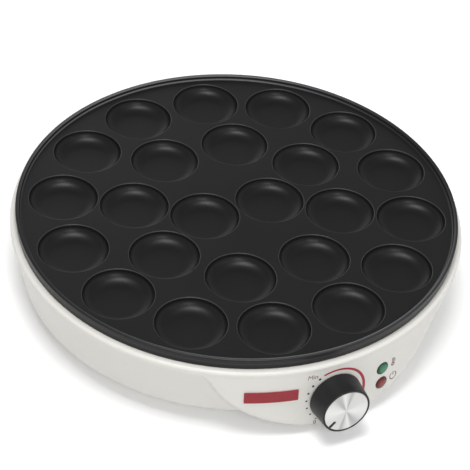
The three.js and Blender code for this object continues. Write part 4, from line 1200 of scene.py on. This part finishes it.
def arc_print(dial):
    """The red arc, which grows wider clockwise."""

    def placed(along, across):
        width = dial.arc_thin + (dial.arc_thick - dial.arc_thin) * along
        radius = dial.arc_radius + dial.arc_growth * along
        return polar(radius - width * across, dial.arc_start - (dial.arc_start + dial.arc_end) * along)

    return strip(ARC_PRINT_STEPS, placed)


def dot_print(dial):
    """The dots, which grow smaller towards 0."""
    shape = bmesh.new()
    for k in range(dial.dots):
        way = k / (dial.dots - 1)
        turn = dial.dots_start + (dial.dots_end - dial.dots_start) * way
        radius = dial.dot_large + (dial.dot_small - dial.dot_large) * way
        place = Matrix.Translation(polar(dial.dot_circle + dial.dot_spread * (2 * way - 1) ** 2, turn))
        bmesh.ops.create_circle(shape, cap_ends=True, segments=DOT_STEPS, radius=radius, matrix=place)
    return shape


def lettering(words, height, middle, slant=0.0):
    """Generic dial lettering as a flat mesh about its middle."""
    curve = bpy.data.curves.new("lettering", "FONT")
    curve.body = words
    curve.size = height / CAPITAL_SHARE
    curve.shear = slant
    writer = bpy.data.objects.new("lettering", curve)
    bpy.context.scene.collection.objects.link(writer)
    bpy.context.view_layer.update()
    mesh = bpy.data.meshes.new_from_object(writer.evaluated_get(bpy.context.evaluated_depsgraph_get()))
    shape = bmesh.new()
    shape.from_mesh(mesh)
    bpy.data.objects.remove(writer)
    bpy.data.curves.remove(curve)
    bpy.data.meshes.remove(mesh)
    spans = list(zip(*(point.co for point in welded(shape).verts)))
    centre = Vector([(min(span) + max(span)) / 2 for span in spans])
    return moved(shape, Matrix.Translation(middle - centre))


def ring_print(inner, outer, gap, height=0.0):
    """A flat ring with its middle at a height, open at the top by an angle to each side."""
    middle = Vector((0, height, 0))
    sweep = TURN - 2 * gap
    return strip(
        RING_PRINT_STEPS,
        lambda along, across: middle + polar(outer + (inner - outer) * across, gap + sweep * along),
    )


def stroke(start, end, width):
    """A straight stroke between two points."""
    start = Vector((*start, 0))
    along = Vector((*end, 0)) - start
    side = Vector((-along.y, along.x, 0)).normalized() * width
    return strip(1, lambda way, across: start + along * way + side * (0.5 - across))


def symbol(size, shapes):
    """A symbol, drawn in shares of its height and brought to its size."""
    return welded(moved(merged(shapes), Matrix.Scale(size, 4)))


def power_mark(size):
    """The usual mark of a broken ring with a stroke in its gap."""
    return symbol(size, [ring_print(0.38, 0.49, gap=0.55), stroke((0, 0.08), (0, 0.55), 0.11)])


def thermometer(size):
    """A plain thermometer: a bulb, a stem and three marks."""
    sides = [stroke((x, -0.12), (x, 0.44), 0.10) for x in (-0.09, 0.09)]
    marks = [stroke((0.20, y), (0.33, y), 0.08) for y in (0.02, 0.16, 0.30)]
    cap = stroke((-0.14, 0.47), (0.14, 0.47), 0.10)
    return symbol(size, [ring_print(0.09, 0.24, gap=0, height=-0.28), *sides, cap, *marks])


class PANCAKE_OT_lamps(bpy.types.Operator):
    """Builds the green and the red signal lamp"""

    bl_idname = "pancake.lamps"
    bl_label = "Signal lamps"

    def execute(self, context):
        lamps = context.scene.pancake_lamps
        inner = lamps.ring_radius - lamps.ring_wall
        colours = (("green", lamps.green), ("red", lamps.red))
        for (name, base), place in zip(colours, lamp_frames(context.scene.pancake_housing, lamps)):
            back, front = -lamps.ring_length, lamps.ring_proud
            outer = lamps.ring_radius
            ring = spun([(inner, back), (outer, back), (outer, front), (inner, front)], SMALL_STEPS)
            rounded(ring, lamps.ring_round, outer, front, slack=2 * lamps.ring_wall)
            dark = tint(base, lamps.ring_shade)
            plastic = moulded_plastic(
                f"{name}_ring_plastic", dark, rough=0.34, texture=0.0005, depth=0.000003
            )
            finished(ring, f"{name}_ring", plastic, "black_plastic", place, replaces=f"lens_ring_{name}")
            whole_place = Matrix.Translation(MIDDLE) @ place
            radius = inner - lamps.lens_gap
            clear = lens_plastic(
                f"{name}_lens_plastic", base, whole_place.translation, whole_place.to_euler(), radius
            )
            lens = self.lens(lamps, radius)
            finished(lens, f"{name}_lens", clear, f"{name}_lens", place, replaces=f"lens_{name}")
        return {"FINISHED"}

    @staticmethod
    def lens(lamps, radius):
        """A lens: a straight edge, a slope and a low crown."""
        shoulder = lamps.lens_proud - lamps.lens_crown
        crown_radius = radius - lamps.lens_slope
        profile = [(0, -lamps.lens_length), (radius, -lamps.lens_length), (radius, lamps.lens_edge)]
        for k in range(CROWN_STEPS):
            way = k / CROWN_STEPS
            profile.append((crown_radius * (1 - way), shoulder + lamps.lens_crown * way * (2 - way)))
        lens = spun([*profile, (0, lamps.lens_proud)], SMALL_STEPS)
        rounded(lens, lamps.lens_round, radius, lamps.lens_edge)
        return rounded(lens, lamps.lens_round, crown_radius, shoulder)


class PANCAKE_OT_name_plate(bpy.types.Operator):
    """Builds the bare red plate on the panel"""

    bl_idname = "pancake.name_plate"
    bl_label = "Name plate"

    def execute(self, context):
        housing = context.scene.pancake_housing
        plate = context.scene.pancake_name_plate
        shape = bmesh.new()
        size = Matrix.Diagonal((plate.width, plate.tall, 1, 1))
        bmesh.ops.create_grid(shape, x_segments=24, y_segments=4, size=0.5, matrix=size)
        thickened(outward(shape), plate.thickness)
        corners = [edge for edge in shape.edges if self.is_corner(edge, plate)]
        bevelled(shape, corners, plate.corner, segments=4)
        rim = [edge for edge in shape.edges if self.is_rim(edge, plate)]
        bevelled(shape, rim, plate.rim_round)
        laid_on_panel(shape, housing, panel_frame(housing, plate.turn, plate.height), plate.gap)
        red = enamel("red_enamel", plate.enamel)
        finished(shape, "red_name_plate", red, "red_plate", replaces="name_plate")
        return {"FINISHED"}

    @staticmethod
    def is_corner(edge, plate):
        """Whether an edge stands upright at a corner."""
        start, end = (point.co for point in edge.verts)
        off = max(abs(abs(start.x) - plate.width / 2), abs(abs(start.y) - plate.tall / 2))
        return abs(start.z - end.z) > plate.thickness / 2 and off < SAME_LENGTH

    @staticmethod
    def is_rim(edge, plate):
        """Whether an edge runs round the upper face."""
        raised = all(point.co.z > plate.thickness / 2 for point in edge.verts)
        return raised and edge.calc_face_angle(0) > RIM_ANGLE


class PANCAKE_OT_base(bpy.types.Operator):
    """Builds the base cover with its vents, the feet and the tie screws"""

    bl_idname = "pancake.base"
    bl_label = "Base, feet and screws"

    def execute(self, context):
        base = context.scene.pancake_base
        plate = context.scene.pancake_plate
        feet = spots(base.foot_circle, turns(base.feet))
        ties = spots(plate.outer_circle, tie_turns(plate))
        reach = (BASE_LOW.z - OVERRUN, BASE_LOW.z + base.wall + OVERRUN)
        slots = [
            Matrix.Rotation(turn, 4, "Z") @ Matrix.Translation((0, base.vent_circle, 0))
            for turn in turns(base.vents)
        ]
        cover = cut(self.cover(base), copies(self.vent(base, reach), slots))
        for radius, places in ((base.screw_hole, ties), (base.foot_neck + base.gap, feet)):
            cover = cut(cover, copies(rod(radius, *reach, PIN_STEPS), places))
        pale = tint(context.scene.pancake_housing.plastic, base.shade)
        plastic = moulded_plastic("base_plastic", pale, rough=0.44, texture=0.0012, depth=0.000012)
        finished(cover, "base_moulding", plastic, "off_white_plastic", replaces="base_cover")
        rubber = moulded_rubber("foot_rubber", base.rubber)
        for k, place in enumerate(feet, 1):
            finished(self.foot(base), f"rubber_foot_{k}", rubber, "rubber", place, replaces=f"foot_{k}")
        zinc = sheet_metal("screw_zinc", base.zinc, rough=0.22, stretch=3)
        for k, place in enumerate(ties, 1):
            screw = self.screw(base, *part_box(f"tie_screw_{k}"))
            finished(screw, f"cross_screw_{k}", zinc, "bright_steel", place, replaces=f"tie_screw_{k}")
        return {"FINISHED"}

    @staticmethod
    def cover(base):
        """The dished cover with its flange."""
        floor = BASE_LOW.z
        flange = BASE_HIGH.z - base.wall
        slope_top = base.radius - base.flange
        slope_bottom = slope_top - base.slope
        outside = [(0, floor), (slope_bottom, floor), (slope_top, flange), (base.radius, flange)]
        inside = [(point - OVERRUN, height + base.wall) for point, height in outside[1:3]]
        rim = (base.radius, flange + base.wall)
        cover = spun([*outside, rim, *reversed(inside), (0, floor + base.wall)], COVER_STEPS)
        rounded(cover, base.bend_round, slope_bottom, floor, segments=4)
        return rounded(cover, base.flange_round, slope_top, flange)

    @staticmethod
    def vent(base, reach):
        """The shape that a vent leaves: a slot with round ends."""
        bottom, top = reach
        radius = base.vent_width / 2
        half = base.vent_length / 2 - radius
        vent = bar((-radius, -half, bottom), (radius, half, top))
        for end in (-half, half):
            vent = joined(vent, rod(radius, bottom, top, TIP_STEPS, Matrix.Translation((0, end, 0))))
        return vent

    @staticmethod
    def foot(base):
        """A pad, hollow underneath, with a neck and a bulb that holds it in the cover."""
        radius, neck = base.foot_radius, base.foot_neck
        pad_top = BASE_LOW.z - base.gap
        bulb = BASE_LOW.z + base.wall + base.gap
        bulb_top = bulb + base.foot_bulb_height
        hollow = [(0, base.foot_hollow), (base.hollow_radius, base.foot_hollow), (base.hollow_edge, 0)]
        pad = [(radius, 0), (radius, pad_top), (neck, pad_top)]
        top = [(neck, bulb), (base.foot_bulb, bulb), (neck, bulb_top), (0, bulb_top)]
        foot = spun(hollow + pad + top, SMALL_STEPS)
        rounded(foot, base.foot_round, radius, 0, segments=4)
        return rounded(foot, base.pad_round, radius, pad_top, segments=2)

    @staticmethod
    def screw(base, low, high):
        """A tie screw with a domed head and a cross in it."""
        radius, head_top = base.head_radius, low.z + base.head_height
        head = [(base.head_face, low.z), (radius, low.z + base.head_dome), (radius, head_top)]
        shank = [(base.screw_radius, head_top), (base.screw_radius, high.z), (0, high.z)]
        screw = spun([(0, low.z), *head, *shank], HOLE_STEPS)
        rounded(screw, base.head_round, base.head_face, low.z)
        arm, half = base.slot_length / 2, base.slot_width / 2
        bottom, top = low.z - OVERRUN, low.z + base.slot_depth
        first = bar((-arm, -half, bottom), (arm, half, top))
        second = bar((-half, -arm, bottom), (half, arm, top))
        return cut(screw, joined(first, second))


class PANCAKE_OT_gland(bpy.types.Operator):
    """Builds the cord gland in the wall's back, with its level bore"""

    bl_idname = "pancake.gland"
    bl_label = "Cord gland"

    def execute(self, context):
        gland = context.scene.pancake_gland
        housing = context.scene.pancake_housing
        neck = gland.bore + gland.wall
        flange = neck + gland.flange
        wall_bow = flange**2 / (2 * wall_foot_radius(housing))
        inside = -housing.wall - wall_bow - gland.gap
        back = inside - gland.flange_wall
        front = gland.gap + gland.flange_wall
        inner_flange = [(0, back), (flange, back), (flange, inside), (neck, inside)]
        outer_flange = [(neck, gland.gap), (flange, gland.gap), (flange, front)]
        shape = spun([*inner_flange, *outer_flange, (neck, gland.proud), (0, gland.proud)], SMALL_STEPS)
        rounded(shape, gland.flange_round, flange, front)
        rounded(shape, gland.end_round, neck, gland.proud)
        level = Matrix.Rotation(-wall_lean(housing), 4, "X")
        shape = cut(shape, rod(gland.bore, back - gland.bore, gland.proud + gland.bore, HOLE_STEPS, level))
        rubber = moulded_rubber("gland_rubber", context.scene.pancake_base.rubber)
        finished(shape, "rubber_gland", rubber, "rubber", gland_frame(housing, gland), replaces="cord_gland")
        return {"FINISHED"}


class PANCAKE_OT_inner_finishes(bpy.types.Operator):
    """Gives the pieces inside the housing their materials"""

    bl_idname = "pancake.inner_finishes"
    bl_label = "Inner finishes"

    def execute(self, context):
        finishes = inner_materials()
        for entry in frame["record"]["subparts"]:
            if entry["material_slot"] in finishes:
                mesh = frame["nodes"][entry["node"]].data
                mesh.materials.clear()
                mesh.materials.append(finishes[entry["material_slot"]])
        return {"FINISHED"}


class PANCAKE_OT_stage(bpy.types.Operator):
    """Sets up the floor, the lamps, the world and the camera"""

    bl_idname = "pancake.stage"
    bl_label = "Stage"

    def execute(self, context):
        stage = context.scene.pancake_stage
        self.floor(stage)
        self.lights(context)
        self.world(context, stage)
        self.camera(context, stage)
        context.scene.view_settings.view_transform = "Standard"
        return {"FINISHED"}

    @staticmethod
    def floor(stage):
        """A level floor that shows white and keeps a soft shadow."""
        material = bpy.data.materials.new("pale_floor")
        nodes = Nodes(material)
        lighting = nodes.node("ShaderNodeBsdfDiffuse", {}, {"Color": tuple(stage.floor)})
        shadowed = nodes.node("ShaderNodeBsdfDiffuse", {}, {"Color": tuple(stage.floor_shadow)})
        glow = nodes.node("ShaderNodeEmission", {}, {"Strength": stage.floor_glow})
        seen = nodes.node("ShaderNodeAddShader", {}, {0: shadowed.outputs[0], 1: glow.outputs[0]})
        surfaces = {0: nodes.shown(), 1: lighting.outputs[0], 2: seen.outputs[0]}
        surface = nodes.node("ShaderNodeMixShader", {}, surfaces)
        nodes.node("ShaderNodeOutputMaterial", {}, {"Surface": surface.outputs[0]})
        shape = bmesh.new()
        bmesh.ops.create_grid(shape, x_segments=1, y_segments=1, size=stage.floor_size / 2)
        floor = as_object(shape, "floor")
        floor.data.materials.append(material)

    @staticmethod
    def lights(context):
        """Broad soft lamps, which point at the middle of the table under the object."""
        for name, place, size, power in STAGE_LAMPS:
            lamp = bpy.data.lights.new(name, "AREA")
            lamp.size = size
            lamp.energy = power
            light = bpy.data.objects.new(name, lamp)
            light.location = place
            light.rotation_euler = (-light.location).to_track_quat("-Z", "Y").to_euler()
            context.scene.collection.objects.link(light)

    @staticmethod
    def world(context, stage):
        """A surround that is white at the horizon and dimmer overhead."""
        world = bpy.data.worlds.new("surround")
        nodes = Nodes(world)
        height = nodes.axes(nodes.node("ShaderNodeTexCoord").outputs["Generated"])[2]
        fade = (1 - height / stage.surround_height).clamped()
        strength = stage.surround + fade * (1 - stage.surround)
        background = nodes.node("ShaderNodeBackground", {}, {"Color": (1, 1, 1), "Strength": strength})
        nodes.node("ShaderNodeOutputWorld", {}, {"Surface": background.outputs[0]})
        context.scene.world = world

    @staticmethod
    def camera(context, stage):
        """The camera at the photograph's angle."""
        camera = bpy.data.cameras.new("camera")
        camera.lens = stage.lens
        holder = bpy.data.objects.new("camera", camera)
        place = MIDDLE + Vector((stage.camera_x, stage.camera_y, stage.camera_z))
        aim = MIDDLE + Vector((stage.aim_x, stage.aim_y, stage.aim_z))
        look = (aim - place).to_track_quat("-Z", "Y").to_matrix().to_4x4()
        holder.matrix_world = Matrix.Translation(place) @ look @ Matrix.Rotation(stage.roll, 4, "Z")
        context.scene.collection.objects.link(holder)
        context.scene.camera = holder


class PANCAKE_PT_panel(bpy.types.Panel):
    """Lists the pieces and their settings"""

    bl_idname = "PANCAKE_PT_panel"
    bl_label = "Pancake Maker"
    bl_space_type = "VIEW_3D"
    bl_region_type = "UI"
    bl_category = "Pancake Maker"

    def draw(self, context):
        for operator in OPERATORS:
            self.layout.operator(operator.bl_idname)
        for name, group in SETTINGS.items():
            box = self.layout.box()
            box.label(text=group.__doc__)
            for field in group.__annotations__:
                box.prop(getattr(context.scene, name), field)


SETTINGS = {
    "pancake_plate": PlateSettings,
    "pancake_housing": HousingSettings,
    "pancake_knob": KnobSettings,
    "pancake_dial": DialSettings,
    "pancake_lamps": LampSettings,
    "pancake_name_plate": NamePlateSettings,
    "pancake_base": BaseSettings,
    "pancake_gland": GlandSettings,
    "pancake_stage": StageSettings,
}
OPERATORS = (
    PANCAKE_OT_cooking_plate,
    PANCAKE_OT_housing,
    PANCAKE_OT_knob,
    PANCAKE_OT_dial,
    PANCAKE_OT_lamps,
    PANCAKE_OT_name_plate,
    PANCAKE_OT_base,
    PANCAKE_OT_gland,
    PANCAKE_OT_inner_finishes,
    PANCAKE_OT_stage,
)
CLASSES = (*SETTINGS.values(), *OPERATORS, PANCAKE_PT_panel)


def register():
    for cls in CLASSES:
        bpy.utils.register_class(cls)
    for name, group in SETTINGS.items():
        setattr(bpy.types.Scene, name, bpy.props.PointerProperty(type=group))


def unregister():
    for name in SETTINGS:
        delattr(bpy.types.Scene, name)
    for cls in reversed(CLASSES):
        bpy.utils.unregister_class(cls)


def main():
    register()
    for operator in OPERATORS:
        getattr(bpy.ops.pancake, operator.bl_idname.split(".")[1])()


if __name__ == "__main__":
    main()
